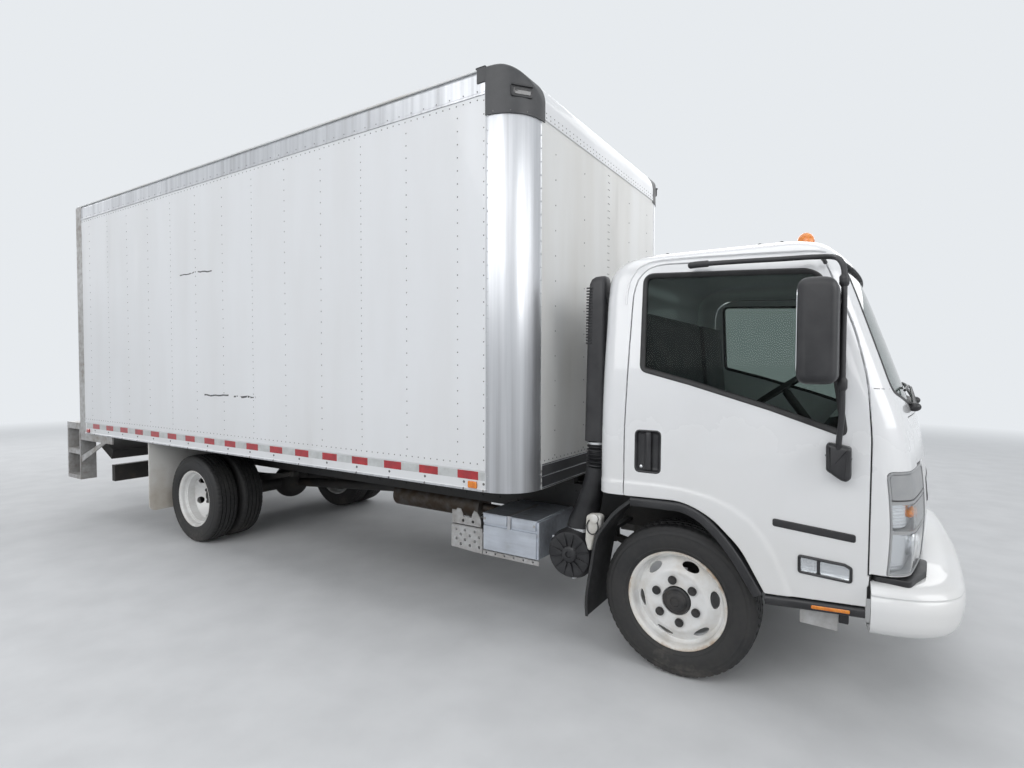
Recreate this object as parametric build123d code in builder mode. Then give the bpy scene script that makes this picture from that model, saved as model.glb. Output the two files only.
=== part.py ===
from build123d import *
import os
from math import cos, radians, sin, sqrt

os.makedirs("parts", exist_ok=True)

# Box truck, in millimetres. The truck faces +X, its right side is -Y, and it stands on Z = 0.
# Places along the truck are measured from the front axle.

# Chassis
front_overhang = 1250
wheelbase = 4470
rear_overhang = 2290
overall_length = front_overhang + wheelbase + rear_overhang
front_axle_x = overall_length / 2 - front_overhang
frame_top_z = 848
frame_height = 216
frame_half_width = 425
frame_flange = 70
frame_wall = 8
frame_front_x = 950
frame_back_x = -6080
running_gap = 6
touch_gap = 0.3

# Tyres and wheels
tyre_radius = 405.5
tyre_width = 226
bead_radius = 248
rim_flange_radius = 260
rim_half_width = 98
rim_wall = 8
front_track_half = 832.5
rear_track_half = 825.5
twin_spacing = 254
kingpin_y = 720
kingpin_radius = 18
spindle_radius = 38
hand_hole_count = 6
steer_arm = 170

# Cab
cab_wall = 45
cab_bow_radius = 5000
cab_front_corner = 130
cab_back_corner = 90
cab_shoulder_z = 2100
cab_floor = 40
door_gap = 6
tunnel_half = 475
cab_floor_under_z = 955
tunnel_front_z = 880
cab_front_inner_x = 1061
pivot_pin_radius = 14
lug_radius = 28
lug_y = 345
lug_width = 20
door_hinge_x = 861
door_hinge_radius = 6
door_hinge_height = 45
door_hinge_zs = [1005, 1190]
glass_thickness = 6
glass_depth = 16
tilt_pivot_x = 1000
tilt_pivot_z = 800

# Box body
box_half_width = 1219
box_front_x = -790
box_corner_radius = 235
box_back_x = -6410
box_bottom_z = 914
box_rail_top_z = 1050
box_floor_z = 1050
box_top_z = 3344
top_rail_height = 154
wall_thickness = 32
post_pitch = 406.4
rear_post_depth = 120
rear_post_width = 110
cap_height = 240

rear_axle_x = -wheelbase
axle_z = tyre_radius
box_corner_x = box_front_x - box_corner_radius
top_rail_z = box_top_z - top_rail_height
frame_bottom_z = frame_top_z - frame_height
rear_frame_front_x = box_back_x + rear_post_depth


def side_plane(y=0):
    return Plane((front_axle_x, y, 0), x_dir=(1, 0, 0), z_dir=(0, -1, 0))


def plan_plane(z=0):
    return Plane((front_axle_x, 0, z))


def cross_plane(x=0):
    return Plane((front_axle_x + x, 0, 0), x_dir=(0, 1, 0), z_dir=(1, 0, 0))


def wheel_plane(x, y, z):
    return Plane((front_axle_x + x, y, z), x_dir=(1, 0, 0), z_dir=(0, 1, 0))


def block(x_low, x_high, y_low, y_high, z_low, z_high, mode=Mode.ADD):
    with Locations((front_axle_x + x_low, y_low, z_low)):
        Box(x_high - x_low, y_high - y_low, z_high - z_low, align=Align.MIN, mode=mode)


def save(builder, label):
    builder.part.label = label
    export_step(builder.part, "parts/" + label + ".step")


# Frame rails: two channels with their open sides inwards, joined by crossmembers
crossmember_xs = [900, -1300, -1900, -3300, -5150, -6000]
with BuildPart() as frame_rails:
    with BuildSketch(cross_plane(frame_back_x)):
        with BuildLine():
            outer = frame_half_width
            inner = outer - frame_flange
            Polyline(
                (outer, frame_bottom_z),
                (outer, frame_top_z),
                (inner, frame_top_z),
                (inner, frame_top_z - frame_wall),
                (outer - frame_wall, frame_top_z - frame_wall),
                (outer - frame_wall, frame_bottom_z + frame_wall),
                (inner, frame_bottom_z + frame_wall),
                (inner, frame_bottom_z),
                close=True,
            )
        make_face()
    extrude(amount=frame_front_x - frame_back_x)
    mirror(about=Plane.XZ)
    for x in crossmember_xs:
        web = frame_half_width - frame_wall
        block(x - 35, x + 35, -web, web, frame_bottom_z + 60, frame_top_z - 60)
    # Rear rest of the cab
    rest_z = cab_floor_under_z - touch_gap
    block(-380, -340, -frame_half_width, frame_half_width, rest_z - 30, rest_z)
    for y in (-frame_half_width, frame_half_width - 50):
        block(-380, -340, y, y + 50, frame_top_z, rest_z - 30)
    # Brackets with the bores of the tilt hinge
    for y in (-lug_y - lug_width, lug_y):
        with BuildSketch(side_plane(y + lug_width)):
            with Locations((tilt_pivot_x, tilt_pivot_z)):
                Circle(lug_radius)
            with BuildLine():
                Polyline((890, 700), (940, 700), (tilt_pivot_x + 20, 780), (tilt_pivot_x, 828), (890, 780), close=True)
            make_face()
            with Locations((tilt_pivot_x, tilt_pivot_z)):
                Circle(pivot_pin_radius + touch_gap, mode=Mode.SUBTRACT)
        extrude(amount=lug_width)
save(frame_rails, "frame_rails")

# Engine block and gearbox between the rails
with BuildPart() as engine_block:
    block(-480, 420, -270, 270, 500, 900)
    block(-600, -480, -200, 200, 520, 860)
    block(-1180, -600, -120, 120, 540, 800)
save(engine_block, "engine_block")

# Front axle: a dropped beam with a bored boss for the kingpin at each end
boss_radius = 38
boss_half_height = 55
with BuildPart() as front_axle:
    block(-45, 45, -560, 560, 330, 400)
    with BuildSketch(cross_plane(-40)):
        with BuildLine():
            Polyline((520, 330), (kingpin_y, 375), (kingpin_y, 435), (520, 400), close=True)
        make_face()
    extrude(amount=80)
    with BuildSketch(cross_plane(-40)):
        with BuildLine():
            Polyline((-520, 330), (-kingpin_y, 375), (-kingpin_y, 435), (-520, 400), close=True)
        make_face()
    extrude(amount=80)
    with Locations((front_axle_x, kingpin_y, axle_z), (front_axle_x, -kingpin_y, axle_z)):
        Cylinder(boss_radius, 2 * boss_half_height)
        Cylinder(kingpin_radius + touch_gap, 400, mode=Mode.SUBTRACT)
    for y in (-415, 415):
        block(-70, 70, y - 35, y + 35, 400, 425)
save(front_axle, "front_axle")

# Rear axle: a tubular housing with a bulged final drive and brake back plates
back_plate_y = 562
with BuildPart() as rear_axle:
    with BuildSketch(side_plane(back_plate_y)):
        with Locations((rear_axle_x, axle_z)):
            Circle(68)
    extrude(amount=2 * back_plate_y)
    with Locations((front_axle_x + rear_axle_x, 0, axle_z)):
        Sphere(175)
    for y in (-435, 435):
        block(rear_axle_x - 80, rear_axle_x + 80, y - 35, y + 35, axle_z + 50, axle_z + 95)
    with BuildSketch(side_plane(back_plate_y)):
        with Locations((rear_axle_x, axle_z)):
            Circle(165)
    extrude(amount=12)
    with BuildSketch(side_plane(-back_plate_y + 12)):
        with Locations((rear_axle_x, axle_z)):
            Circle(165)
    extrude(amount=12)
    with BuildSketch(side_plane(rear_track_half + 40)):
        with Locations((rear_axle_x, axle_z)):
            Circle(spindle_radius)
    extrude(amount=2 * rear_track_half + 80)
save(rear_axle, "rear_axle")

# Leaf springs with their hangers
# place along the truck, half length, distance from the centre line, seat height
spring_table = [
    (0, 560, 415, 425),
    (rear_axle_x, 640, 435, axle_z + 95),
]
leaf_width = 70
with BuildPart() as leaf_springs:
    for x, half_length, y, seat_z in spring_table:
        with BuildSketch(side_plane(y + leaf_width / 2)):
            with BuildLine():
                eye_z = seat_z + 104
                ThreePointArc((x - half_length, eye_z), (x, seat_z), (x + half_length, eye_z))
                Line((x + half_length, eye_z), (x + half_length, eye_z + 22))
                ThreePointArc((x + half_length, eye_z + 22), (x, seat_z + 60), (x - half_length, eye_z + 22))
                Line((x - half_length, eye_z + 22), (x - half_length, eye_z))
            make_face()
        extrude(amount=leaf_width)
        for end_x in (x - half_length, x + half_length):
            block(end_x - 30, end_x + 30, y - 30, y + 30, eye_z - 20, frame_bottom_z)
    mirror(about=Plane.XZ)
save(leaf_springs, "leaf_springs")

# Propeller shaft and exhaust
with BuildPart() as driveline:
    with BuildSketch(cross_plane(-1180)):
        with Locations((0, 650)):
            Circle(45)
    with BuildSketch(cross_plane(rear_axle_x + 175)):
        with Locations((0, axle_z)):
            Circle(45)
    loft()
save(driveline, "propeller_shaft")

muffler_y = -270
with BuildPart() as exhaust:
    with BuildSketch(cross_plane(-2600)):
        with Locations((muffler_y, 540)):
            Circle(90)
    extrude(amount=900)
    with BuildSketch(cross_plane(-1700)):
        with Locations((muffler_y, 540)):
            Circle(32)
    extrude(amount=900)
    block(-1925, -1875, muffler_y - 12, muffler_y + 12, 620, frame_bottom_z + 60)
save(exhaust, "exhaust")

# Fuel tank outside the left rail, in two straps, with its filler on top
strap_thickness = 4
with BuildPart() as fuel_tank:
    block(-2700, -1500, 445, 900, 400, 760)
    fillet(fuel_tank.edges().filter_by(Axis.X), 60)
    for x in (-2450, -1750):
        block(x - 25, x + 25, frame_half_width, 470, 640, 830)
    for x in (-2450, -1750):
        with BuildSketch(cross_plane(x - 20)):
            with Locations((672.5, 580)):
                RectangleRounded(455 + 2 * strap_thickness, 360 + 2 * strap_thickness, 60 + strap_thickness)
        extrude(amount=40)
    with Locations((front_axle_x - 1620, 760, 750)):
        Cylinder(42, 50, align=(Align.CENTER, Align.CENTER, Align.MIN))
save(fuel_tank, "fuel_tank")

# Battery box with a perforated step behind it, on a bracket from the right rail
with BuildPart() as battery_box:
    block(-1260, -860, -900, -560, 470, 690)
    block(-1266, -854, -906, -554, 668, 696)
    block(-1075, -1045, -903, -557, 467, 700)
    block(-1520, -840, -880, -frame_half_width, 640, 660)
    block(-1520, -1300, -915, -903, 430, 690)
    block(-1520, -860, -915, -903, 425, 465)
    block(-1310, -1262, -903, -600, 440, 660)
    with BuildSketch(side_plane(-900)):
        with Locations((-1410, 560)):
            with GridLocations(48, 48, 4, 4):
                Circle(15)
    extrude(amount=20, mode=Mode.SUBTRACT)
save(battery_box, "battery_box")

# Air cleaner drum, its duct and bellows
drum_x = -651
drum_z = 526
drum_radius = 150
drum_rib_count = 12
drum_rib_height = 7
with BuildPart() as air_cleaner:
    with BuildSketch(side_plane(-600)):
        with Locations((drum_x, drum_z)):
            Circle(drum_radius)
    extrude(amount=300)
    # height, place along the truck, distance from the centre line, radius
    duct_table = [
        (drum_z + 90, drum_x + 20, -760, 84),
        (drum_z + 260, drum_x + 60, -772, 78),
        (980, drum_x + 140, -830, 64),
        (1205, -492, -850, 60),
    ]
    for z, x, y, radius in duct_table:
        with BuildSketch(plan_plane(z)):
            with Locations((x, y)):
                Circle(radius)
    loft()
    block(drum_x - 60, drum_x + 60, -610, -frame_half_width, drum_z + 110, drum_z + 135)
    with BuildSketch(side_plane(-900)):
        with Locations((drum_x, drum_z)):
            Circle(36)
            with PolarLocations(86, drum_rib_count):
                Rectangle(110, 7)
    extrude(amount=drum_rib_height)
save(air_cleaner, "air_cleaner")

# White washer bottle behind the right front wheel
with BuildPart() as washer_bottle:
    block(-525, -460, -965, -907, 590, 800)
    fillet(washer_bottle.edges(), 18)
    block(-470, -445 - touch_gap, -950, -920, 640, 655)
save(washer_bottle, "washer_bottle")

# Mudguards behind the front wheels
with BuildPart() as front_mudguards:
    with BuildSketch(side_plane(-700)):
        with BuildLine():
            Polyline((-474, 238), (-490, 240), (-478, 420), (-436, 700), (-238, 935), (-224, 920))
            Polyline((-224, 920), (-420, 695), (-462, 420), (-474, 238))
        make_face()
    extrude(amount=310)
    block(-474, -428, -705, -frame_half_width, 660, 684)
    mirror(about=Plane.XZ)
save(front_mudguards, "front_mudguards")

# Front bumper: a channel with a top shelf, curved in plan
bumper_back_x = 870
bumper_half = 1028
bumper_bottom_z = 480
bumper_top_z = 712
bumper_groove_z = 658
bumper_groove_height = 6


def bumper_outline(z, inset, drop, corner):
    side_front = front_overhang - 150 - inset - drop
    half = bumper_half - inset
    with BuildSketch(plan_plane(z)) as outline:
        with BuildLine():
            Polyline((side_front, -half), (bumper_back_x, -half), (bumper_back_x, half), (side_front, half))
            ThreePointArc((side_front, half), (front_overhang - inset - drop, 0), (side_front, -half))
        make_face()
        fillet(outline.vertices().group_by(Axis.X)[-1], corner)
    return outline.sketch


# height, set back of the front face
bumper_table = [(bumper_bottom_z, 40), (540, 0), (640, 0), (bumper_top_z, 45)]
with BuildPart() as front_bumper:
    loft(sections=[bumper_outline(z, 0, drop, 150) for z, drop in bumper_table], ruled=True)
    hollow = bumper_outline(bumper_bottom_z - 5, 30, 40, 120)
    extrude(hollow, amount=bumper_top_z - bumper_bottom_z - 20, mode=Mode.SUBTRACT)
    block(bumper_back_x - 5, 1000, -900, 900, bumper_bottom_z - 5, bumper_top_z + 5, mode=Mode.SUBTRACT)
    block(bumper_back_x, 1112, -620, 620, bumper_top_z - 40, bumper_top_z + 5, mode=Mode.SUBTRACT)
    for y in (-frame_half_width + 5, frame_half_width - 65):
        block(frame_front_x, front_overhang - 60, y, y + 60, 560, 640)
    with BuildPart(mode=Mode.PRIVATE) as groove:
        extrude(bumper_outline(bumper_groove_z, -10, 8, 150), amount=bumper_groove_height)
        extrude(bumper_outline(bumper_groove_z, 4, 8, 146), amount=bumper_groove_height, mode=Mode.SUBTRACT)
        block(600, bumper_back_x + 5, -1200, 1200, 600, bumper_top_z, mode=Mode.SUBTRACT)
    add(groove.part, mode=Mode.SUBTRACT)
save(front_bumper, "front_bumper")

# Mudflaps behind the rear wheels, hung from the floor
flap_x = rear_axle_x - tyre_radius - 105
with BuildPart() as rear_mudflaps:
    block(flap_x - 5, flap_x + 5, -1200, -590, 250, box_bottom_z)
    fillet(rear_mudflaps.edges().filter_by(Axis.X).group_by(Axis.Z)[0], 60)
    mirror(about=Plane.XZ)
save(rear_mudflaps, "rear_mudflaps")

# Box floor on cross sills and two long sills
with BuildPart() as box_floor:
    inside = box_half_width - wall_thickness
    block(rear_frame_front_x, box_corner_x, -inside, inside, box_floor_z - 30, box_floor_z)
    block(box_corner_x, box_front_x - 40, -950, 950, box_floor_z - 30, box_floor_z)
    for y in (-frame_half_width + 5, frame_half_width - 65):
        block(rear_frame_front_x, box_front_x - 60, y, y + 60, frame_top_z, box_floor_z - 30)
    count = int((box_corner_x - rear_frame_front_x) / post_pitch)
    for index in range(count):
        x = box_corner_x - (index + 0.5) * post_pitch
        block(x - 22, x + 22, -inside, inside, box_bottom_z + 20, box_floor_z - 30)
save(box_floor, "box_floor")

# Box sides: riveted sheets over posts
with BuildPart() as box_sides:
    inside = box_half_width - wall_thickness
    block(rear_frame_front_x, box_corner_x, -box_half_width, -inside, box_rail_top_z, top_rail_z)
    mirror(about=Plane.XZ)
save(box_sides, "box_sides")

# Bottom rails: an aluminium section with a bead along each edge
rail_proud = 4
bead_height = 13
bead_depth = 5
with BuildPart() as bottom_rails:
    inside = box_half_width - wall_thickness
    outside = box_half_width + rail_proud
    with BuildSketch(cross_plane(rear_frame_front_x)):
        with BuildLine():
            Polyline(
                (-inside, box_bottom_z),
                (-outside, box_bottom_z),
                (-outside, box_bottom_z + bead_height),
                (-outside + bead_depth, box_bottom_z + bead_height + bead_depth),
                (-outside + bead_depth, box_rail_top_z - bead_height - bead_depth),
                (-outside, box_rail_top_z - bead_height),
                (-outside, box_rail_top_z),
                (-inside, box_rail_top_z),
                close=True,
            )
        make_face()
    extrude(amount=box_corner_x - rear_frame_front_x)
    mirror(about=Plane.XZ)
save(bottom_rails, "bottom_rails")

# Top rails: the same kind of section, bent over towards the roof
roof_thickness = 12
rail_bend = 22
with BuildPart() as top_rails:
    rail_top_z = box_top_z - roof_thickness
    with BuildSketch(cross_plane(rear_frame_front_x)):
        with BuildLine():
            Polyline(
                (-inside, top_rail_z),
                (-outside, top_rail_z),
                (-outside, top_rail_z + bead_height),
                (-outside + rail_proud, top_rail_z + bead_height + rail_proud),
                (-outside + rail_proud, rail_top_z - rail_bend),
                (-outside + rail_proud + rail_bend / 2, rail_top_z),
                (-inside, rail_top_z),
                close=True,
            )
        make_face()
    extrude(amount=box_corner_x - rear_frame_front_x)
    mirror(about=Plane.XZ)
save(top_rails, "top_rails")

# Front wall with its ribbed bottom rail
post_inner_y = box_half_width - box_corner_radius
front_groove_zs = [945, 980, 1015]
front_groove_height = 14
front_groove_depth = 6
with BuildPart() as box_front_wall:
    block(box_front_x - 40, box_front_x, -post_inner_y, post_inner_y, box_bottom_z, box_top_z - cap_height)
    for z in front_groove_zs:
        groove_x = box_front_x - front_groove_depth
        groove_top = z + front_groove_height
        block(groove_x, box_front_x, -post_inner_y, post_inner_y, z, groove_top, mode=Mode.SUBTRACT)
save(box_front_wall, "box_front_wall")


def corner_ring(z, outer, thickness):
    centre_x = box_front_x - box_corner_radius
    centre_y = box_half_width - box_corner_radius
    inner = outer - thickness
    with BuildSketch(plan_plane(z)) as ring:
        with BuildLine():
            CenterArc((centre_x, centre_y), outer, 0, 90)
            CenterArc((centre_x, centre_y), inner, 0, 90)
            Line((centre_x + outer, centre_y), (centre_x + inner, centre_y))
            Line((centre_x, centre_y + outer), (centre_x, centre_y + inner))
        make_face()
    return ring.sketch


# Polished corner posts and the charcoal caps on them
with BuildPart() as corner_posts:
    extrude(corner_ring(box_bottom_z, box_corner_radius, wall_thickness), amount=box_top_z - cap_height - box_bottom_z)
    mirror(about=Plane.XZ)
save(corner_posts, "corner_posts")

cap_z = box_top_z - cap_height
cap_proud = 6
cap_lamp_z = 3175
cap_lamp_height = 56
cap_lamp_length = 110
cap_lamp_heading = 48
cap_lamp_floor = 212
with BuildPart() as corner_caps:
    cap_axis = Axis((front_axle_x + box_corner_x, post_inner_y, 0), (0, 0, 1))
    with BuildSketch(Plane(cap_axis.position, x_dir=(1, 0, 0), z_dir=(0, -1, 0))):
        with BuildLine():
            outer = box_corner_radius + cap_proud
            inner = box_corner_radius - wall_thickness
            dome_z = box_top_z - box_corner_radius
            Polyline((0, dome_z + inner), (0, dome_z + outer))
            CenterArc((0, dome_z), outer, 0, 90)
            Polyline((outer, dome_z), (outer, cap_z), (inner, cap_z), (inner, dome_z))
            CenterArc((0, dome_z), inner, 0, 90)
        make_face()
    revolve(axis=cap_axis, revolution_arc=90)
    lamp_way = (cos(radians(cap_lamp_heading)), sin(radians(cap_lamp_heading)), 0)
    pocket = Plane(cap_axis.position + cap_lamp_floor * Vector(*lamp_way), x_dir=(0, 0, 1), z_dir=lamp_way)
    with BuildSketch(pocket):
        with Locations((cap_lamp_z, 0)):
            RectangleRounded(cap_lamp_height, cap_lamp_length, 15)
    extrude(amount=box_corner_radius, mode=Mode.SUBTRACT)
    mirror(about=Plane.XZ)
save(corner_caps, "corner_caps")

# Roof skin with the rounded nose
with BuildPart() as box_roof:
    block(box_back_x, box_corner_x, -box_half_width, box_half_width, box_top_z - 12, box_top_z)
    with BuildSketch(side_plane(post_inner_y)):
        with BuildLine():
            centre_z = box_top_z - box_corner_radius
            CenterArc((box_corner_x, centre_z), box_corner_radius, 0, 90)
            CenterArc((box_corner_x, centre_z), box_corner_radius - 30, 0, 90)
            Line((box_corner_x + box_corner_radius, centre_z), (box_corner_x + box_corner_radius - 30, centre_z))
            Line((box_corner_x, box_top_z), (box_corner_x, box_top_z - 30))
        make_face()
    extrude(amount=2 * post_inner_y)
    block(box_front_x - 30, box_front_x, -post_inner_y, post_inner_y, cap_z, box_top_z - box_corner_radius)
save(box_roof, "box_roof")

# Rear frame: posts, header and threshold
with BuildPart() as rear_frame:
    block(box_back_x, rear_frame_front_x, -box_half_width - 4, box_half_width + 4, box_bottom_z, box_top_z - 12)
    opening = box_half_width - rear_post_width
    block(box_back_x, rear_frame_front_x, -opening, opening, box_floor_z, 3050, mode=Mode.SUBTRACT)
save(rear_frame, "rear_frame")

# Roll-up door of hinged slats, closed
slat_count = 8
with BuildPart() as rollup_door:
    opening = box_half_width - rear_post_width
    slat_height = (3050 - box_floor_z - 2 * touch_gap) / slat_count
    door_x = box_back_x + 45
    block(door_x + 6, door_x + 28, -opening + 1, opening - 1, box_floor_z + touch_gap, 3050 - touch_gap)
    for index in range(slat_count):
        z = box_floor_z + touch_gap + index * slat_height
        block(door_x, door_x + 6, -opening + 1, opening - 1, z + 4, z + slat_height - 4)
save(rollup_door, "rollup_door")

# Galvanised steps at both rear corners, on arms from the floor
step_front_x = box_back_x - 25
step_back_x = rear_axle_x - rear_overhang
step_hole_y = -1140
step_hole_pitch = 44
step_hole_radius = 13
with BuildPart() as rear_steps:
    block(step_back_x, step_front_x, -1215, -1065, 400, 1020)
    block(step_back_x + 20, step_front_x - 20, -1220, -1060, 730, 950, mode=Mode.SUBTRACT)
    block(step_back_x + 20, step_front_x - 20, -1220, -1060, 440, 675, mode=Mode.SUBTRACT)
    arm_top_z = box_bottom_z - touch_gap
    block(step_front_x, -5700, -1210, -1195, 838, arm_top_z)
    block(step_front_x, -5700, -1210, -1130, arm_top_z - 8, arm_top_z)
    with BuildSketch(side_plane(-1195)):
        with BuildLine():
            Polyline((-5860, 838), (-5950, 838), (step_front_x, 660), (step_front_x, 590), close=True)
        make_face()
    extrude(amount=12)
    with BuildSketch(plan_plane(380)):
        with Locations(((step_front_x + step_back_x) / 2, step_hole_y)):
            with GridLocations(step_hole_pitch, step_hole_pitch, 6, 3):
                Circle(step_hole_radius)
    extrude(amount=340, mode=Mode.SUBTRACT)
    mirror(about=Plane.XZ)
save(rear_steps, "rear_steps")

# Lift gate: fixed frame, swinging arms and the folded platform
gate_pivot_x = -5700
gate_pivot_z = 520
gate_end_x = -6230
gate_end_z = 560
gate_arm_y = 300
gate_pin_radius = 22
with BuildPart() as gate_frame:
    for y in (-frame_half_width - 20, frame_half_width):
        block(gate_pivot_x - 80, gate_pivot_x + 80, y, y + 20, gate_pivot_z - 50, frame_top_z - 10)
    with BuildSketch(side_plane(frame_half_width)):
        with Locations((gate_pivot_x, gate_pivot_z)):
            Circle(gate_pin_radius)
    extrude(amount=2 * frame_half_width)
save(gate_frame, "gate_frame")

# The guard bar hangs from the arms on two drop plates
guard_x = -6470
with BuildPart() as gate_arms:
    with BuildSketch(side_plane(gate_arm_y + 30)):
        with BuildLine():
            Polyline(
                (gate_pivot_x + 45, gate_pivot_z),
                (gate_pivot_x, gate_pivot_z + 45),
                (gate_end_x, gate_end_z + 35),
                (gate_end_x - 35, gate_end_z),
                (gate_end_x, gate_end_z - 35),
                (gate_pivot_x, gate_pivot_z - 45),
                close=True,
            )
        make_face()
    extrude(amount=60)
    with BuildSketch(side_plane(gate_arm_y)):
        with BuildLine():
            Polyline((-6080, 510), (-6180, 545), (guard_x, 500), (guard_x, 380), (guard_x + 40, 350), close=True)
        make_face()
    extrude(amount=30)
    with BuildSketch(side_plane(gate_arm_y + 40)):
        with Locations((gate_pivot_x, gate_pivot_z)):
            Circle(gate_pin_radius + touch_gap)
        with Locations((gate_end_x, gate_end_z)):
            Circle(gate_pin_radius + touch_gap)
    extrude(amount=80, mode=Mode.SUBTRACT)
    mirror(about=Plane.XZ)
    block(-6000, -5930, -gate_arm_y, gate_arm_y, gate_end_z - 60, gate_end_z)
    block(guard_x, guard_x + 70, -900, 900, 330, 515)
save(gate_arms, "gate_arms")

# Folded platform, stowed at a slant on two brackets
platform_half = 1016
with BuildPart() as gate_platform:
    with BuildSketch(side_plane(platform_half)):
        with BuildLine():
            Polyline((-6425, 729), (-6193, 620), (-6146, 720), (-6378, 829), close=True)
        make_face()
    extrude(amount=2 * platform_half)
    with BuildSketch(side_plane(gate_arm_y + 60)):
        with BuildLine():
            Polyline(
                (gate_end_x - 30, gate_end_z - 30),
                (gate_end_x + 30, gate_end_z - 30),
                (-6190, 640),
                (-6290, 690),
                close=True,
            )
        make_face()
    extrude(amount=20)
    with BuildSketch(side_plane(gate_arm_y + 60)):
        with Locations((gate_end_x, gate_end_z)):
            Circle(gate_pin_radius)
    extrude(amount=95)
    mirror(about=Plane.XZ)
save(gate_platform, "gate_platform")

# Cab: sections of the outside
# height, front at the centre line, half width, back
cab_table = [
    (560, 1085, 1000, -385),
    (1000, 1112, 1032, -385),
    (1240, 1090, 1032, -376),
    (1405, 1059, 1024, -366),
    (1550, 1010, 1012, -352),
    (1850, 905, 976, -318),
    (2050, 832, 949, -295),
    (2130, 798, 936, -284),
    (2175, 771, 920, -252),
    (2205, 746, 899, -215),
    (2235, 704, 859, -165),
    (2255, 660, 810, -120),
    (2275, 579, 712, -45),
    (2285, 480, 600, 20),
]


def cab_form(inset):
    sections = []
    for z, front, half, back in cab_table:
        height = z - inset if z > cab_shoulder_z else z
        front_x = front - inset
        half_y = half - inset
        back_x = back + inset
        bow_x = front_x - cab_bow_radius + sqrt(cab_bow_radius**2 - half_y**2)
        with BuildSketch(plan_plane(height)) as section:
            with BuildLine():
                ThreePointArc((bow_x, -half_y), (front_x, 0), (bow_x, half_y))
                Polyline((bow_x, half_y), (back_x, half_y), (back_x, -half_y), (bow_x, -half_y))
            make_face()
            fillet(section.vertices().group_by(Axis.X)[-1], cab_front_corner - inset)
            fillet(section.vertices().group_by(Axis.X)[0], cab_back_corner - inset)
        sections.append(section.sketch)
    with BuildPart() as form:
        loft(sections=sections, ruled=True)
    return form.part


# Everything below the cab: the wheel arch, the sill and the front edge over the bumper
def cab_underside(rise, y_from=-1200, y_to=1200):
    with BuildPart() as under:
        with BuildSketch(side_plane(y_to)):
            with BuildLine():
                Polyline((-600, 0), (-600, cab_floor_under_z + rise), (-221, 959 + rise), (60, 966 + rise))
                ThreePointArc((60, 966 + rise), (277 + 0.7 * rise, 808 + 0.7 * rise), (442 + rise, 571 + rise))
                Polyline((442 + rise, 571 + rise), (852, 598 + rise), (862, 750 + rise), (1400, 750 + rise))
                Polyline((1400, 750 + rise), (1400, 0), (-600, 0))
            make_face()
        extrude(amount=y_to - y_from)
        tunnel = tunnel_half + rise
        block(-600, 430, -tunnel, tunnel, 0, cab_floor_under_z + rise)
        block(-600, cab_front_inner_x - rise, -tunnel, tunnel, 0, tunnel_front_z + rise)
    return under.part


def side_prism(points, corner, y_from, y_to):
    with BuildPart() as prism:
        with BuildSketch(side_plane(y_to)) as outline:
            with BuildLine():
                Polyline(*points, close=True)
            make_face()
            fillet(outline.vertices(), corner)
        extrude(amount=y_to - y_from)
    return prism.part


def front_prism(points, corner, x_from, x_to):
    with BuildPart() as prism:
        with BuildSketch(cross_plane(x_from)) as outline:
            with BuildLine():
                Polyline(*points, close=True)
            make_face()
            fillet(outline.vertices(), corner)
        extrude(amount=x_to - x_from)
    return prism.part


cab_outer = cab_form(0)
cab_inner = cab_form(cab_wall)
cab_skin = cab_outer - cab_inner
glass_skin = cab_form(glass_depth) - cab_form(glass_depth + glass_thickness)

# Door outline and window outline, seen from the side
door_outline = [
    (852, 400),
    (858, 1333),
    (840, 1589),
    (787, 1809),
    (742, 1928),
    (655, 2152),
    (315, 2166),
    (-60, 2182),
    (-130, 2164),
    (-184, 2112),
    (-218, 2030),
    (-252, 1306),
    (-252, 400),
]
window_outline = [(-161, 1622), (81, 1556), (456, 1444), (771, 1335), (660, 2062), (600, 2098), (-130, 2136)]
door_hinge_y = 1031


def outline_prism(points, distance, corner, y_from, y_to):
    with BuildPart() as prism:
        with BuildSketch(side_plane(y_to)) as outline:
            with BuildLine():
                Polyline(*points, close=True)
            make_face()
            offset(amount=distance, kind=Kind.INTERSECTION)
            fillet(outline.vertices(), corner)
        extrude(amount=y_to - y_from)
    return prism.part


door_reach = 700
under = cab_underside(0)
door_space_skin = cab_form(-20) - cab_form(cab_wall + door_gap)
windscreen_points = [(-900, 1545), (-560, 1470), (560, 1470), (900, 1545), (830, 2140), (-830, 2140)]
windscreen_corner = 60
back_window_corner = 45
back_window_points = [(-560, 1450), (560, 1450), (560, 1900), (-560, 1900)]
front_panel_points = [(-775, 690), (775, 690), (775, 1415), (-775, 1415)]
front_panel_space = [(-779, 600), (779, 600), (779, 1415 + touch_gap), (-779, 1415 + touch_gap)]
headlamp_points = [(-790, 750), (-790, 1200), (-1200, 1200), (-1200, 750)]

# Swage over the wheel arch: the side stands out between this ridge and the arch
swage_proud = 7


def swage_prism(y_from, y_to):
    with BuildPart() as prism:
        with BuildSketch(side_plane(y_to)):
            with BuildLine():
                Polyline((560, 480), (546, 619))
                ThreePointArc((546, 619), (382, 915), (64, 1032))
                Polyline((64, 1032), (-600, 1036), (-600, 480), (560, 480))
            make_face()
        extrude(amount=y_to - y_from)
    return prism.part


swage_skin = cab_form(-swage_proud) - cab_form(3) - under

# Recessed handle of the door: the pocket and the upright grip in it, seen from the side
handle_pocket = [(-189, 1098), (-61, 1098), (-61, 1308), (-189, 1308)]
handle_grip = [(-142, 1090), (-104, 1090), (-104, 1316), (-142, 1316)]
handle_corner = 22
handle_depth = 18
grip_depth = 6
pocket_skin = cab_form(-20) - cab_form(handle_depth)
grip_skin = cab_form(grip_depth) - cab_form(handle_depth + 3)

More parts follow.
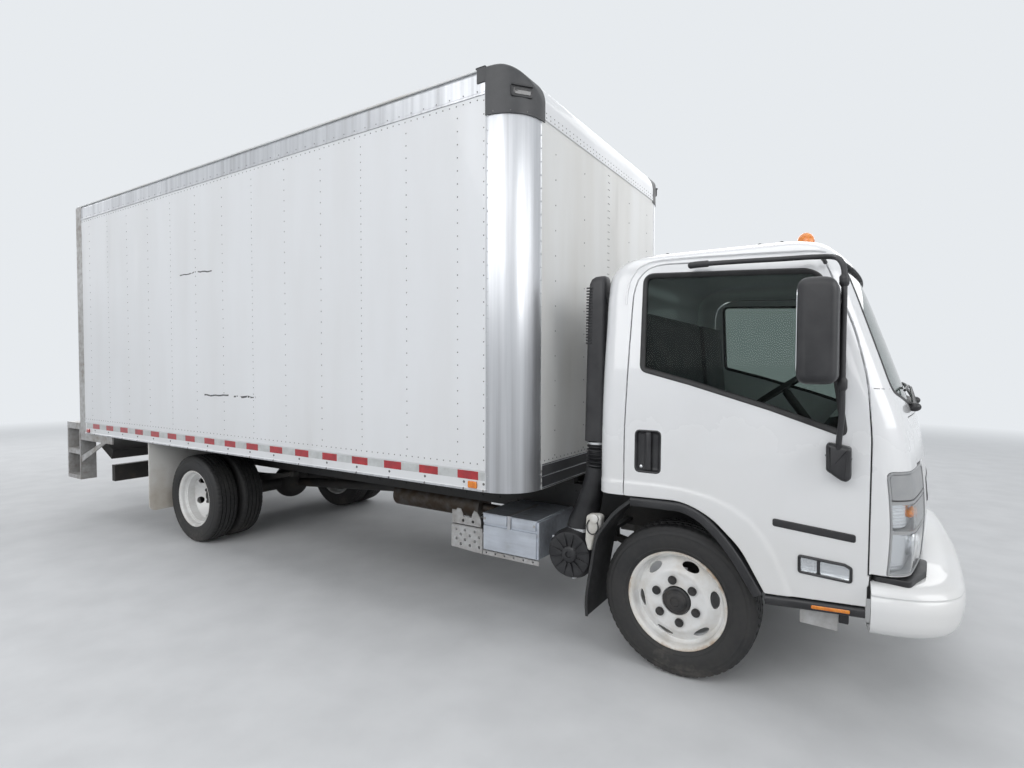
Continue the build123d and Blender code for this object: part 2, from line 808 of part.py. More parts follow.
# Grille in the front panel: a recess with two slats across it, seen from the front
grille_points = [(-430, 985), (430, 985), (460, 1100), (-460, 1100)]
grille_depth = 20
slat_depth = 5
slat_heights = [1018, 1056]
slat_thickness = 12
grille_skin = cab_form(-20) - cab_form(grille_depth)
slat_skin = cab_form(slat_depth) - cab_form(grille_depth + 3)

with BuildPart() as cab_shell:
    add(cab_outer - under)
    for y_from, y_to in ((-1200, -door_reach), (door_reach, 1200)):
        add(swage_skin & swage_prism(y_from, y_to))
    add(cab_inner - cab_underside(cab_floor), mode=Mode.SUBTRACT)
    for y_from, y_to in ((-1200, -door_reach), (door_reach, 1200)):
        space = door_space_skin & outline_prism(door_outline, door_gap, 14, y_from, y_to)
        add(space, mode=Mode.SUBTRACT)
    add(front_prism(windscreen_points, windscreen_corner, 500, 1400), mode=Mode.SUBTRACT)
    add(front_prism(back_window_points, back_window_corner, -600, -100), mode=Mode.SUBTRACT)
    add(door_space_skin & front_prism(front_panel_space, 3, 700, 1400), mode=Mode.SUBTRACT)
    for y in (-lug_y - 2 * lug_width - running_gap, lug_y + lug_width + running_gap):
        with BuildSketch(side_plane(y + lug_width)):
            with Locations((tilt_pivot_x, tilt_pivot_z)):
                Circle(lug_radius)
            with Locations((tilt_pivot_x, tilt_pivot_z + 45)):
                Rectangle(2 * lug_radius, 90)
        extrude(amount=lug_width)
        with BuildSketch(side_plane(y + lug_width + (running_gap + lug_width if y < 0 else 0))):
            with Locations((tilt_pivot_x, tilt_pivot_z)):
                Circle(pivot_pin_radius)
        extrude(amount=2 * lug_width + running_gap)
    for y in (-door_hinge_y, door_hinge_y):
        for z in door_hinge_zs:
            with Locations((front_axle_x + door_hinge_x, y, z - touch_gap)):
                Cylinder(
                    door_hinge_radius + touch_gap,
                    door_hinge_height + 2 * touch_gap,
                    align=(Align.CENTER, Align.CENTER, Align.MIN),
                    mode=Mode.SUBTRACT,
                )
    add(front_prism(headlamp_points, 20, 905, 1400), mode=Mode.SUBTRACT)
    add(mirror(front_prism(headlamp_points, 20, 905, 1400), about=Plane.XZ, mode=Mode.PRIVATE), mode=Mode.SUBTRACT)
save(cab_shell, "cab_shell")

with BuildPart() as front_panel:
    add((cab_skin - under) & front_prism(front_panel_points, 3, 700, 1400))
    add(grille_skin & front_prism(grille_points, 20, 700, 1400), mode=Mode.SUBTRACT)
    for z in slat_heights:
        slat_points = [(-450, z), (450, z), (450, z + slat_thickness), (-450, z + slat_thickness)]
        add(slat_skin & front_prism(slat_points, 2, 700, 1400))
save(front_panel, "front_panel")

with BuildPart() as cab_windows:
    add(glass_skin & front_prism(windscreen_points, windscreen_corner, 500, 1400))
    add(glass_skin & front_prism(back_window_points, back_window_corner, -600, -100))
save(cab_windows, "cab_windows")

# Doors: the same skin inside the door outline, with the window cut out
door_inner_y = 880
for side, y_from, y_to in (("right", -1200, -door_inner_y), ("left", door_inner_y, 1200)):
    sign = -1 if side == "right" else 1
    with BuildPart() as door:
        add((cab_skin - under) & outline_prism(door_outline, 0, 8, y_from, y_to))
        add(swage_skin & swage_prism(y_from, y_to) & outline_prism(door_outline, 0, 8, y_from, y_to))
        add(outline_prism(window_outline, 0, 40, y_from, y_to), mode=Mode.SUBTRACT)
        add(pocket_skin & outline_prism(handle_pocket, 0, handle_corner, y_from, y_to), mode=Mode.SUBTRACT)
        add(grip_skin & outline_prism(handle_grip, 0, 5, y_from, y_to))
        for z in door_hinge_zs:
            y_low, y_high = sorted((sign * (door_hinge_y - 5), sign * (door_hinge_y + 3)))
            block(door_hinge_x - 25, door_hinge_x, y_low, y_high, z, z + door_hinge_height)
            with Locations((front_axle_x + door_hinge_x, sign * door_hinge_y, z)):
                Cylinder(door_hinge_radius, door_hinge_height, align=(Align.CENTER, Align.CENTER, Align.MIN))
    save(door, "door_" + side)
    with BuildPart() as door_glass:
        add(glass_skin & outline_prism(window_outline, 0, 40, y_from, y_to))
    save(door_glass, "door_glass_" + side)


# Black arch flare and sill under the door, with a flange up to the wheel arch
flare_proud = 12
flare_depth = 62
with BuildPart() as arch_flares:
    band = cab_underside(-door_gap) - cab_underside(-40)
    flange = cab_underside(-touch_gap) - cab_underside(-40)
    add((cab_form(-flare_proud) - cab_form(flare_depth)) & band)
    add((cab_form(cab_wall + door_gap + 2) - cab_form(flare_depth)) & flange)
    with BuildPart(mode=Mode.PRIVATE) as keep:
        block(-215, 852, -1200, 1200, 500, 1000)
    add(keep.part, mode=Mode.INTERSECT)
    block(-215, 852, -tunnel_half - 60, tunnel_half + 60, 500, 1000, mode=Mode.SUBTRACT)
save(arch_flares, "arch_flares")

# Headlamps in the front corners, and the beacon on the roof
beacon_x = 525
beacon_y = -300
beacon_radius = 52
beacon_top_z = 2400
lamp_joint_zs = [942, 1069]
lamp_joint_width = 6
with BuildPart() as cab_lamps:
    lamp_points = [(-793, 750 + touch_gap), (-793, 1197), (-1200, 1197), (-1200, 750 + touch_gap)]
    lamp = (cab_skin - under) & front_prism(lamp_points, 18, 908, 1400)
    for z in lamp_joint_zs:
        joint = [(-760, z), (-1200, z), (-1200, z + lamp_joint_width), (-760, z + lamp_joint_width)]
        lamp -= (cab_form(-20) - cab_form(lamp_joint_width)) & front_prism(joint, 1, 700, 1400)
    add(lamp)
    add(mirror(lamp, about=Plane.XZ, mode=Mode.PRIVATE))
    with BuildSketch(plan_plane(beacon_top_z - 150)):
        with Locations((beacon_x, beacon_y)):
            Circle(beacon_radius)
    beacon = extrude(amount=150, mode=Mode.PRIVATE)
    add(beacon - cab_form(-touch_gap))
save(cab_lamps, "cab_lamps")

# Seats: a driver's seat on the left and a bench for two on the right
floor_top_z = 1006
with BuildPart() as seats:
    for y_from, y_to in ((230, 760), (-880, 120)):
        with BuildSketch(side_plane(y_to)):
            with BuildLine():
                Polyline((-285, 1010), (215, 1010), (250, 1300), (-110, 1310), (-165, 1930), (-245, 1930), close=True)
            make_face()
        extrude(amount=y_to - y_from)
    block(-250, 50, -850, 750, floor_top_z + touch_gap, 1010)
save(seats, "seats")

# Dashboard on its centre leg, with the steering column
dash_half = 895
column_y = 450
wheel_x = 330
wheel_z = 1500
column_tilt = 35
ring_radius = 215
ring_tube = 15
column_length = 440
with BuildPart() as dashboard:
    with BuildSketch(side_plane(dash_half)):
        with BuildLine():
            Polyline((640, 1010), (890, 1010), (895, 1425), (820, 1440), (690, 1410), (600, 1280), close=True)
        make_face()
    extrude(amount=2 * dash_half)
    block(640, 890, -150, 150, tunnel_front_z + cab_floor + touch_gap, 1010)
    with BuildPart(mode=Mode.PRIVATE) as binnacle:
        block(668, 800, column_y - 170, column_y + 170, 1380, 1480)
        fillet(binnacle.edges().filter_by(Axis.Y).group_by(Axis.Z)[-1], 30)
    add(binnacle.part)
    axis_plane = Plane(
        (front_axle_x + wheel_x, column_y, wheel_z),
        x_dir=(0, 1, 0),
        z_dir=(sin(radians(column_tilt)), 0, -cos(radians(column_tilt))),
    )
    with BuildSketch(axis_plane.offset(30)):
        Circle(28)
    extrude(amount=column_length)
save(dashboard, "dashboard")

with BuildPart() as steering_wheel:
    with BuildSketch(axis_plane):
        Circle(ring_radius + ring_tube)
        Circle(ring_radius - ring_tube, mode=Mode.SUBTRACT)
    extrude(amount=ring_tube, both=True)
    with BuildSketch(axis_plane):
        Circle(60)
        Rectangle(2 * ring_radius, 36)
        with Locations((0, -ring_radius / 2)):
            Rectangle(36, ring_radius)
    extrude(amount=12, both=True)
    with BuildSketch(axis_plane.offset(12)):
        Circle(20)
    extrude(amount=18 - touch_gap)
save(steering_wheel, "steering_wheel")

# Air intake on the back of the cab
with BuildPart() as intake_snorkel:
    for z, x in ((1211, -492), (2160, -438)):
        with BuildSketch(plan_plane(z)):
            with Locations((x, -850)):
                RectangleRounded(184, 120, 30)
    loft()
    for z, reach_x in ((1400, -355), (2000, -285)):
        block(-460, reach_x, -870, -830, z, z + 30)
    add(cab_form(-touch_gap), mode=Mode.SUBTRACT)
save(intake_snorkel, "intake_snorkel")

# Mirrors: a tube from the cover low on the door up past the head and back over the window
tube_radius = 12
tube_x = 752
tube_y = 1150
# The cover on the door, the sleeve over the window and the mirror head, each with rounded edges
# front and back, distances from the centre line, bottom and top, edge radius
mirror_blocks = [
    (690, 790, 1036, 1115, 1150, 1320, 20),
    (60, 200, 930, 1005, 2126, 2162, 10),
    (592, 742, 1125, 1335, 1574, 2008, 38),
]
for side, sign in (("right", -1), ("left", 1)):
    with BuildPart() as mirror_set:
        with BuildLine() as tube_path:
            FilletPolyline(
                (front_axle_x + tube_x - 15, sign * 1085, 1250),
                (front_axle_x + tube_x, sign * tube_y, 1420),
                (front_axle_x + tube_x, sign * tube_y, 2075),
                (front_axle_x + 690, sign * 1010, 2135),
                (front_axle_x + 120, sign * 985, 2150),
                radius=40,
            )
        with BuildSketch(Plane(tube_path.line @ 0, z_dir=tube_path.line % 0)):
            Circle(tube_radius)
        sweep()
        for x_low, x_high, y_near, y_far, z_low, z_high, corner in mirror_blocks:
            y_low, y_high = sorted((sign * y_near, sign * y_far))
            with BuildPart(mode=Mode.PRIVATE) as housing:
                block(x_low, x_high, y_low, y_high, z_low, z_high)
                fillet(housing.edges(), corner)
            add(housing.part)
        add(cab_form(-touch_gap), mode=Mode.SUBTRACT)
    save(mirror_set, "mirror_" + side)

# Front knuckles: a fork over the axle boss, the kingpin, the stub axle and the steering arm
fork_gap = boss_half_height + running_gap
for side, sign in (("right", -1), ("left", 1)):
    with BuildPart() as knuckle:
        y_low, y_high = sorted((sign * (kingpin_y - 40), sign * (kingpin_y + 75)))
        block(-42, 42, y_low, y_high, axle_z + fork_gap, axle_z + fork_gap + 30)
        block(-42, 42, y_low, y_high, axle_z - fork_gap - 30, axle_z - fork_gap)
        y_low, y_high = sorted((sign * (kingpin_y + 45), sign * (kingpin_y + 75)))
        block(-55, 55, y_low, y_high, axle_z - fork_gap - 30, axle_z + fork_gap + 30)
        with Locations((front_axle_x, sign * kingpin_y, axle_z)):
            Cylinder(kingpin_radius, 2 * fork_gap + 20)
        with BuildSketch(side_plane(sign * (kingpin_y + 70))):
            with Locations((0, axle_z)):
                Circle(spindle_radius)
        extrude(amount=-sign * 100)
        y_low, y_high = sorted((sign * (kingpin_y - 16), sign * (kingpin_y + 16)))
        block(-steer_arm - 20, -42, y_low, y_high, axle_z - fork_gap - 30, axle_z - fork_gap - 6)
        with Locations((front_axle_x - steer_arm, sign * kingpin_y, axle_z - fork_gap - 10)):
            Cylinder(10, 50, align=(Align.CENTER, Align.CENTER, Align.MIN))
    save(knuckle, "knuckle_" + side)

# Tie rod between the steering arms
rod_z = axle_z - fork_gap + 22
with BuildPart() as tie_rod:
    with BuildSketch(side_plane(kingpin_y)):
        with Locations((-steer_arm, rod_z)):
            Circle(14)
    extrude(amount=2 * kingpin_y)
    for y in (-kingpin_y, kingpin_y):
        with Locations((front_axle_x - steer_arm, y, rod_z)):
            Cylinder(20, 40)
            Cylinder(10 + touch_gap, 60, mode=Mode.SUBTRACT)
save(tie_rod, "tie_rod")


# Wheels and tyres are turned about their axle: outward offset, radius
def turned(x, y, sign, points):
    with BuildPart() as ring:
        with BuildSketch(Plane((front_axle_x + x, y, axle_z), x_dir=(0, sign, 0), z_dir=(sign, 0, 0))):
            with BuildLine():
                Polyline(*points, close=True)
            make_face()
        revolve(axis=Axis((front_axle_x + x, y, axle_z), (0, 1, 0)))
    return ring.part


seat_radius = bead_radius - touch_gap
rim_points = [
    (rim_half_width, 262),
    (rim_half_width - 6, 262),
    (86, seat_radius),
    (58, seat_radius),
    (34, 228),
    (-42, 228),
    (-64, seat_radius),
    (-86, seat_radius),
    (6 - rim_half_width, 262),
    (-rim_half_width, 262),
    (-95, 250),
    (-84, 239),
    (-55, 237),
    (-40, 220),
    (28, 220),
    (48, 237),
    (84, 239),
    (95, 250),
]
front_disc_points = [(20, 223), (34, 223), (82, 168), (88, 158), (88, 60), (78, 60), (78, 154), (72, 160)]
twin_disc_points = [(-38, 223), (-24, 223), (-110, 160), (-117, 150), (-117, 60), (-126.5, 60), (-126.5, 156)]
tyre_half = tyre_width / 2
tyre_points = [
    (84, bead_radius),
    (85, 266),
    (tyre_half - 3, 300),
    (tyre_half, 335),
    (104, 385),
    (88, 401),
    (55, tyre_radius),
    (-55, tyre_radius),
    (-88, 401),
    (-104, 385),
    (-tyre_half, 335),
    (3 - tyre_half, 300),
    (-85, 266),
    (-84, bead_radius),
]
hub_radius = 72
for side, sign in (("right", -1), ("left", 1)):
    wheel_y = sign * front_track_half
    bore = [(-60, 0), (-60, spindle_radius + touch_gap), (62, spindle_radius + touch_gap), (62, 0)]
    hub = [(-36, 0), (-36, hub_radius), (92, hub_radius), (96, 60), (110, 54), (112, 0)]
    with BuildPart() as front_wheel:
        add(turned(0, wheel_y, sign, rim_points))
        add(turned(0, wheel_y, sign, front_disc_points))
        with BuildSketch(side_plane(wheel_y)):
            with Locations((0, axle_z)):
                with PolarLocations(190, hand_hole_count, start_angle=30):
                    Ellipse(20, 28)
        extrude(amount=-sign * 120, mode=Mode.SUBTRACT)
        add(turned(0, wheel_y, sign, hub))
        add(turned(0, wheel_y, sign, bore), mode=Mode.SUBTRACT)
    save(front_wheel, "front_wheel_" + side)
    with BuildPart() as front_tyre:
        add(turned(0, wheel_y, sign, tyre_points))
    save(front_tyre, "front_tyre_" + side)
    with BuildPart() as rear_wheels:
        outer_y = sign * (rear_track_half + twin_spacing / 2)
        inner_y = sign * (rear_track_half - twin_spacing / 2)
        add(turned(rear_axle_x, outer_y, sign, rim_points))
        add(turned(rear_axle_x, outer_y, sign, twin_disc_points))
        add(turned(rear_axle_x, inner_y, -sign, rim_points))
        add(turned(rear_axle_x, inner_y, -sign, twin_disc_points))
        with BuildSketch(side_plane(sign * rear_track_half)):
            with Locations((rear_axle_x, axle_z)):
                with PolarLocations(190, hand_hole_count, start_angle=30):
                    Ellipse(20, 28)
        extrude(amount=120, both=True, mode=Mode.SUBTRACT)
        rear_hub = [(-140, 0), (-140, 190), (-128, 190), (-128, hub_radius), (70, hub_radius), (84, 60), (84, 0)]
        add(turned(rear_axle_x, sign * rear_track_half, sign, rear_hub))
        rear_bore = [(-300, 0), (-300, spindle_radius + touch_gap), (46, spindle_radius + touch_gap), (46, 0)]
        add(turned(rear_axle_x, sign * rear_track_half, sign, rear_bore), mode=Mode.SUBTRACT)
    save(rear_wheels, "rear_wheels_" + side)
    with BuildPart() as rear_tyres:
        add(turned(rear_axle_x, outer_y, sign, tyre_points))
        add(turned(rear_axle_x, inner_y, sign, tyre_points))
    save(rear_tyres, "rear_tyres_" + side)
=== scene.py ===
import bpy
import bmesh
import math
import numpy as np
from mathutils import Matrix, Vector


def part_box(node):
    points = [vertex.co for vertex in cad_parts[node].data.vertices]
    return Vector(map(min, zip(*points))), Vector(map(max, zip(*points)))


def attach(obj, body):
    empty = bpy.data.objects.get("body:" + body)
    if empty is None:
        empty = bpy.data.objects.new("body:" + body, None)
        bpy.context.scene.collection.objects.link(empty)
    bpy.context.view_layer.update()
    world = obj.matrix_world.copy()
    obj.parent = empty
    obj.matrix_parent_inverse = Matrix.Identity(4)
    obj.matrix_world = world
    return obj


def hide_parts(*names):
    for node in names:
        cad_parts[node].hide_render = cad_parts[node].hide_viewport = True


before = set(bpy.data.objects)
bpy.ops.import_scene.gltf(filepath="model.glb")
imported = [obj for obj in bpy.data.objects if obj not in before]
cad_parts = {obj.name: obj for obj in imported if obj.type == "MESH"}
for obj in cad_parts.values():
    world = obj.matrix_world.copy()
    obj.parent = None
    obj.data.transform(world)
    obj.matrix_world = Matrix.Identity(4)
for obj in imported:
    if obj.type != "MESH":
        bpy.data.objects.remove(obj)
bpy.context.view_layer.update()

# The camera stands beside the right front corner, at a grown person's eye height.
# Its place is measured from the point on the ground under the front axle.
# The lens is a phone's wide one, which stretches the cab and makes the box run away fast.
front_low, front_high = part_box("front_tyre_right")
front_axle_x = (front_low.x + front_high.x) / 2
camera_place = Vector((front_axle_x + 0.8673, -3.901, 1.6429))
camera_heading = math.radians(122.5411)
camera_pitch = math.radians(-1.7407)
camera_roll = math.radians(0.1164)
camera_lens_px = 569.24
photo_width_px = 1024
sensor_width_mm = 36
forward = Vector((
    math.cos(camera_heading) * math.cos(camera_pitch),
    math.sin(camera_heading) * math.cos(camera_pitch),
    math.sin(camera_pitch),
))
level_right = forward.cross(Vector((0, 0, 1))).normalized()
level_up = level_right.cross(forward)
right = level_right * math.cos(camera_roll) + level_up * math.sin(camera_roll)
up = right.cross(forward)
camera_data = bpy.data.cameras.new("camera")
camera_data.sensor_width = sensor_width_mm
camera_data.lens = camera_lens_px * sensor_width_mm / photo_width_px
camera_data.clip_end = 100
camera = bpy.data.objects.new("camera", camera_data)
camera.matrix_world = Matrix((
    (right.x, up.x, -forward.x, camera_place.x),
    (right.y, up.y, -forward.y, camera_place.y),
    (right.z, up.z, -forward.z, camera_place.z),
    (0, 0, 0, 1),
))
bpy.context.collection.objects.link(camera)
bpy.context.scene.camera = camera
bpy.context.scene.view_settings.view_transform = "Standard"


# Studio light: wide soft sheets of light over each side, over the nose and over the tail.
# They stand far off, so that every panel is lit evenly, and the right side a little more.
def area_light(name, place, target, size, power):
    data = bpy.data.lights.new(name, "AREA")
    data.shape = "RECTANGLE"
    data.size, data.size_y = size
    data.energy = power
    lamp = bpy.data.objects.new(name, data)
    lamp.location = place
    lamp.rotation_euler = (Vector(target) - Vector(place)).to_track_quat("-Z", "Y").to_euler()
    bpy.context.collection.objects.link(lamp)


area_light("light_right", (1.0, -9.0, 6.5), (-0.5, 0, 1.4), (12, 6), 520)
area_light("light_left", (0.0, 9.5, 6.5), (-0.5, 0, 1.4), (12, 6), 380)
area_light("light_ahead", (11.5, -2.5, 5.5), (1.5, 0, 1.4), (7, 5), 380)
area_light("light_behind", (-12.0, 0.0, 5.5), (-3.0, 0, 1.5), (7, 5), 280)
area_light("light_above", (0.0, 0.0, 10.5), (0, 0, 0), (13, 8), 330)


# Backdrop: the world is a pale grey behind everything, and dimmer where it lights the truck.
# Gloss and glass see the same pale grey as the camera does.
# Node trees are built through one wrapped socket, so that sums of sockets read as plain sums.
class Value:
    def __init__(self, tree, socket):
        self.tree = tree
        self.socket = socket

    def node(self, kind, settings, values, output=0):
        made = self.tree.nodes.new(kind)
        for name, setting in settings.items():
            if name == "stops":
                while len(made.color_ramp.elements) < len(setting):
                    made.color_ramp.elements.new(1.0)
                for element, (position, shade) in zip(made.color_ramp.elements, setting):
                    element.position = position
                    element.color = (*shade, 1)
            else:
                setattr(made, name, setting)
        for key, value in values.items():
            if isinstance(value, Value):
                self.tree.links.new(value.socket, made.inputs[key])
            else:
                made.inputs[key].default_value = value
        return Value(self.tree, made.outputs[output])

    def maths(self, operation, first, second=0.0):
        return self.node("ShaderNodeMath", {"operation": operation}, {0: first, 1: second})

    def __add__(self, other):
        return self.maths("ADD", self, other)

    def __radd__(self, other):
        return self.maths("ADD", other, self)

    def __sub__(self, other):
        return self.maths("SUBTRACT", self, other)

    def __rsub__(self, other):
        return self.maths("SUBTRACT", other, self)

    def __mul__(self, other):
        return self.maths("MULTIPLY", self, other)

    def __rmul__(self, other):
        return self.maths("MULTIPLY", other, self)

    def __mod__(self, other):
        return self.maths("FLOORED_MODULO", self, other)

    def __gt__(self, other):
        return self.maths("GREATER_THAN", self, other)

    def __lt__(self, other):
        return self.maths("LESS_THAN", self, other)

    def __abs__(self):
        return self.maths("ABSOLUTE", self)

    def step(self, low, high):
        return self.node(
            "ShaderNodeMapRange", {"clamp": True}, {"Value": self, "From Min": low, "From Max": high}
        )

    def stops(self, *stops):
        return self.node("ShaderNodeValToRGB", {"stops": stops}, {"Fac": self})

    def greys(self, *stops):
        return self.stops(*((place, (level,) * 3) for place, level in stops))


def seen_rays(tree):
    """One for the rays that show the backdrop itself: the camera's, and those in gloss and in glass."""
    kinds = tree.nodes.new("ShaderNodeLightPath").outputs
    camera_ray, gloss_ray, glass_ray = (
        Value(tree, kinds[kind]) for kind in ("Is Camera Ray", "Is Glossy Ray", "Is Transmission Ray")
    )
    return camera_ray + gloss_ray + glass_ray


backdrop_color = (0.8, 0.83, 0.86, 1)
daylight_color = (0.9, 0.94, 1.0, 1)
daylight_strength = 0.3
world = bpy.data.worlds.new("studio")
bpy.context.scene.world = world
world.use_nodes = True
world_tree = world.node_tree
world_tree.nodes.clear()
seen = seen_rays(world_tree)
daylight = seen.node("ShaderNodeBackground", {}, {"Color": daylight_color, "Strength": daylight_strength})
backdrop = seen.node("ShaderNodeBackground", {}, {"Color": backdrop_color})
sky = seen.node("ShaderNodeMixShader", {}, {0: seen, 1: daylight, 2: backdrop})
world_tree.links.new(sky.socket, world_tree.nodes.new("ShaderNodeOutputWorld").inputs["Surface"])


# Floor: a plain pale studio floor of fine-grained concrete, one quad far wider than the truck.
# Its grain is a few percent of light and dark. Far from the truck it turns into the backdrop,
# for the eye, for gloss and for glass alone.
class Finish:
    def __init__(self, name, color, roughness, metallic=0.0, coat=0.0):
        self.material = bpy.data.materials.new(name)
        self.material.use_nodes = True
        tree = self.material.node_tree
        self.shader = tree.nodes["Principled BSDF"]
        self.shader.inputs["Base Color"].default_value = (*color, 1)
        self.shader.inputs["Roughness"].default_value = roughness
        self.shader.inputs["Metallic"].default_value = metallic
        self.shader.inputs["Coat Weight"].default_value = coat
        self.place = Value(tree, tree.nodes.new("ShaderNodeTexCoord").outputs["Object"])
        axes = self.place.node("ShaderNodeSeparateXYZ", {}, {0: self.place}).socket.node
        self.x, self.y, self.z = (Value(tree, axes.outputs[axis]) for axis in "XYZ")

    def noise(self, scale, detail=3.0, stretch=(1, 1, 1)):
        where = self.place.node("ShaderNodeMapping", {}, {0: self.place, 3: stretch})
        return self.place.node("ShaderNodeTexNoise", {}, {"Vector": where, "Scale": scale, "Detail": detail})

    def set(self, socket, value):
        self.place.tree.links.new(value.socket, self.shader.inputs[socket])

    def bump(self, height, depth):
        self.set("Normal", height.node("ShaderNodeBump", {}, {"Height": height, "Distance": depth}))

    def worn(self, pattern, colors, roughness=()):
        """Colours, and levels of roughness, at stops along one pattern of wear."""
        self.set("Base Color", pattern.stops(*colors))
        if roughness:
            self.set("Roughness", pattern.greys(*roughness))


floor_half = 60
fade_start, fade_end = 36.0, 300.0  # squares of the distance from the middle
floor_finish = Finish("studio_floor", (0.62, 0.63, 0.64), 0.85)
floor_finish.worn(floor_finish.noise(3.0, 6.0), ((0.35, (0.6, 0.61, 0.62)), (0.65, (0.65, 0.66, 0.67))))
floor_away = floor_finish.x * floor_finish.x + floor_finish.y * floor_finish.y
floor_tree = floor_finish.material.node_tree
fade_out = floor_away.step(fade_start, fade_end) * seen_rays(floor_tree)
glow = fade_out.node("ShaderNodeEmission", {}, {"Color": backdrop_color})
plain_floor = Value(floor_tree, floor_finish.shader.outputs["BSDF"])
floor_mix = fade_out.node("ShaderNodeMixShader", {}, {0: fade_out, 1: plain_floor, 2: glow})
floor_tree.links.new(floor_mix.socket, floor_tree.nodes["Material Output"].inputs["Surface"])
floor_mesh = bpy.data.meshes.new("floor")
floor_corners = [(x * floor_half, y * floor_half, 0) for x, y in ((-1, -1), (1, -1), (1, 1), (-1, 1))]
floor_mesh.from_pydata(floor_corners, [], [(0, 1, 2, 3)])
floor_mesh.materials.append(floor_finish.material)
floor = bpy.data.objects.new("floor", floor_mesh)
bpy.context.collection.objects.link(floor)


# Cab skin: pressed steel panels in gloss white, a little over a metre and a half tall.
# The skin is one smooth surface through the cab's sections, and each panel is a sheet on it,
# trimmed to its outline, with a small rounded edge and the depth of the wall.
wall = 0.045
bow_radius = 5.0
front_corner = 0.13
back_corner = 0.09
panel_edge = 0.0025
# height, front at the centre line, half width, back
cab_sections = np.array([
    (0.4, 1.078, 0.99, -0.412),
    (0.56, 1.085, 1.0, -0.412),
    (1.0, 1.112, 1.032, -0.412),
    (1.24, 1.09, 1.032, -0.412),
    (1.405, 1.059, 1.024, -0.412),
    (1.55, 1.01, 1.012, -0.412),
    (1.85, 0.905, 0.976, -0.411),
    (2.05, 0.832, 0.949, -0.409),
    (2.13, 0.798, 0.936, -0.402),
    (2.175, 0.771, 0.92, -0.385),
    (2.205, 0.746, 0.899, -0.362),
    (2.235, 0.704, 0.859, -0.325),
    (2.255, 0.66, 0.81, -0.285),
    (2.275, 0.579, 0.712, -0.21),
    (2.285, 0.48, 0.6, -0.12),
    (2.29, 0.25, 0.0, 0.1),
])


def lengths_along(points):
    return np.concatenate(([0], np.cumsum(np.linalg.norm(np.diff(points, axis=0), axis=1))))


def smooth_curve(knots, values, wanted):
    """A smooth curve through values at knots, read at the wanted places."""
    slopes = np.gradient(values, knots, axis=0)
    index = np.clip(np.searchsorted(knots, wanted, side="right") - 1, 0, len(knots) - 2)
    width = knots[index + 1] - knots[index]
    t = ((wanted - knots[index]) / width)[:, None]
    low, high = values[index], values[index + 1]
    rise_low, rise_high = slopes[index] * width[:, None], slopes[index + 1] * width[:, None]
    return (
        low * (2 * t**3 - 3 * t**2 + 1)
        + rise_low * (t**3 - 2 * t**2 + t)
        + high * (3 * t**2 - 2 * t**3)
        + rise_high * (t**3 - t**2)
    )


section_knots = lengths_along(cab_sections[:, :3])
skin_top = section_knots[-1]
fine_rows = np.linspace(0, skin_top, 800)
fine_sections = smooth_curve(section_knots, cab_sections, fine_rows)
fine_sections[:, 2] = np.maximum(fine_sections[:, 2], 0)
shoulder_z, crown_z = 2.09, 2.29

# Arc lengths of the five stretches of half a section, from the middle of the back to the nose
stretches = np.cumsum([0, 0.94, 0.14, 1.22, 0.19, 0.92])
ridge = np.array([
    (-0.42, 1.036), (-0.07, 1.04), (0.064, 1.032), (0.195, 1.009), (0.29, 0.975), (0.382, 0.915),
    (0.44, 0.845), (0.49, 0.76), (0.52, 0.683), (0.546, 0.619), (0.57, 0.54),
])
ridge_height = 0.007


def distance_to(line, points):
    """Signed distance of each point to a line, the nearest stretch of it, and the place on that stretch."""
    start, run = line[:-1], np.diff(line, axis=0)
    offset = points[:, None, :] - start[None]
    share = np.clip((offset * run).sum(2) / ((run**2).sum(1) + 1e-12), 0, 1)
    gap = offset - share[..., None] * run
    distance = np.linalg.norm(gap, axis=2)
    nearest = distance.argmin(1)
    pick_row = np.arange(len(points))
    side = run[nearest, 0] * gap[pick_row, nearest, 1] - run[nearest, 1] * gap[pick_row, nearest, 0]
    return distance[pick_row, nearest] * np.sign(side), nearest, share[pick_row, nearest]


def swage(x, z):
    """How far the wheel arch's band stands out of the side panels."""
    inside = -distance_to(ridge, np.stack([x, z], 1))[0]
    t = np.clip((inside + 0.004) / 0.02, 0, 1)
    return ridge_height * t * t * (3 - 2 * t)


def section_at(rows):
    return [np.interp(rows, fine_rows, fine_sections[:, column]) for column in range(4)]


def corner_centre(front, half, inset):
    """Centre and radius of the front corner's arc, which runs into the nose's wide bow."""
    radius = np.minimum(front_corner - inset, 0.9 * half)
    bow = bow_radius - inset
    return front - bow + np.sqrt((bow - radius) ** 2 - (half - radius) ** 2), half - radius, radius


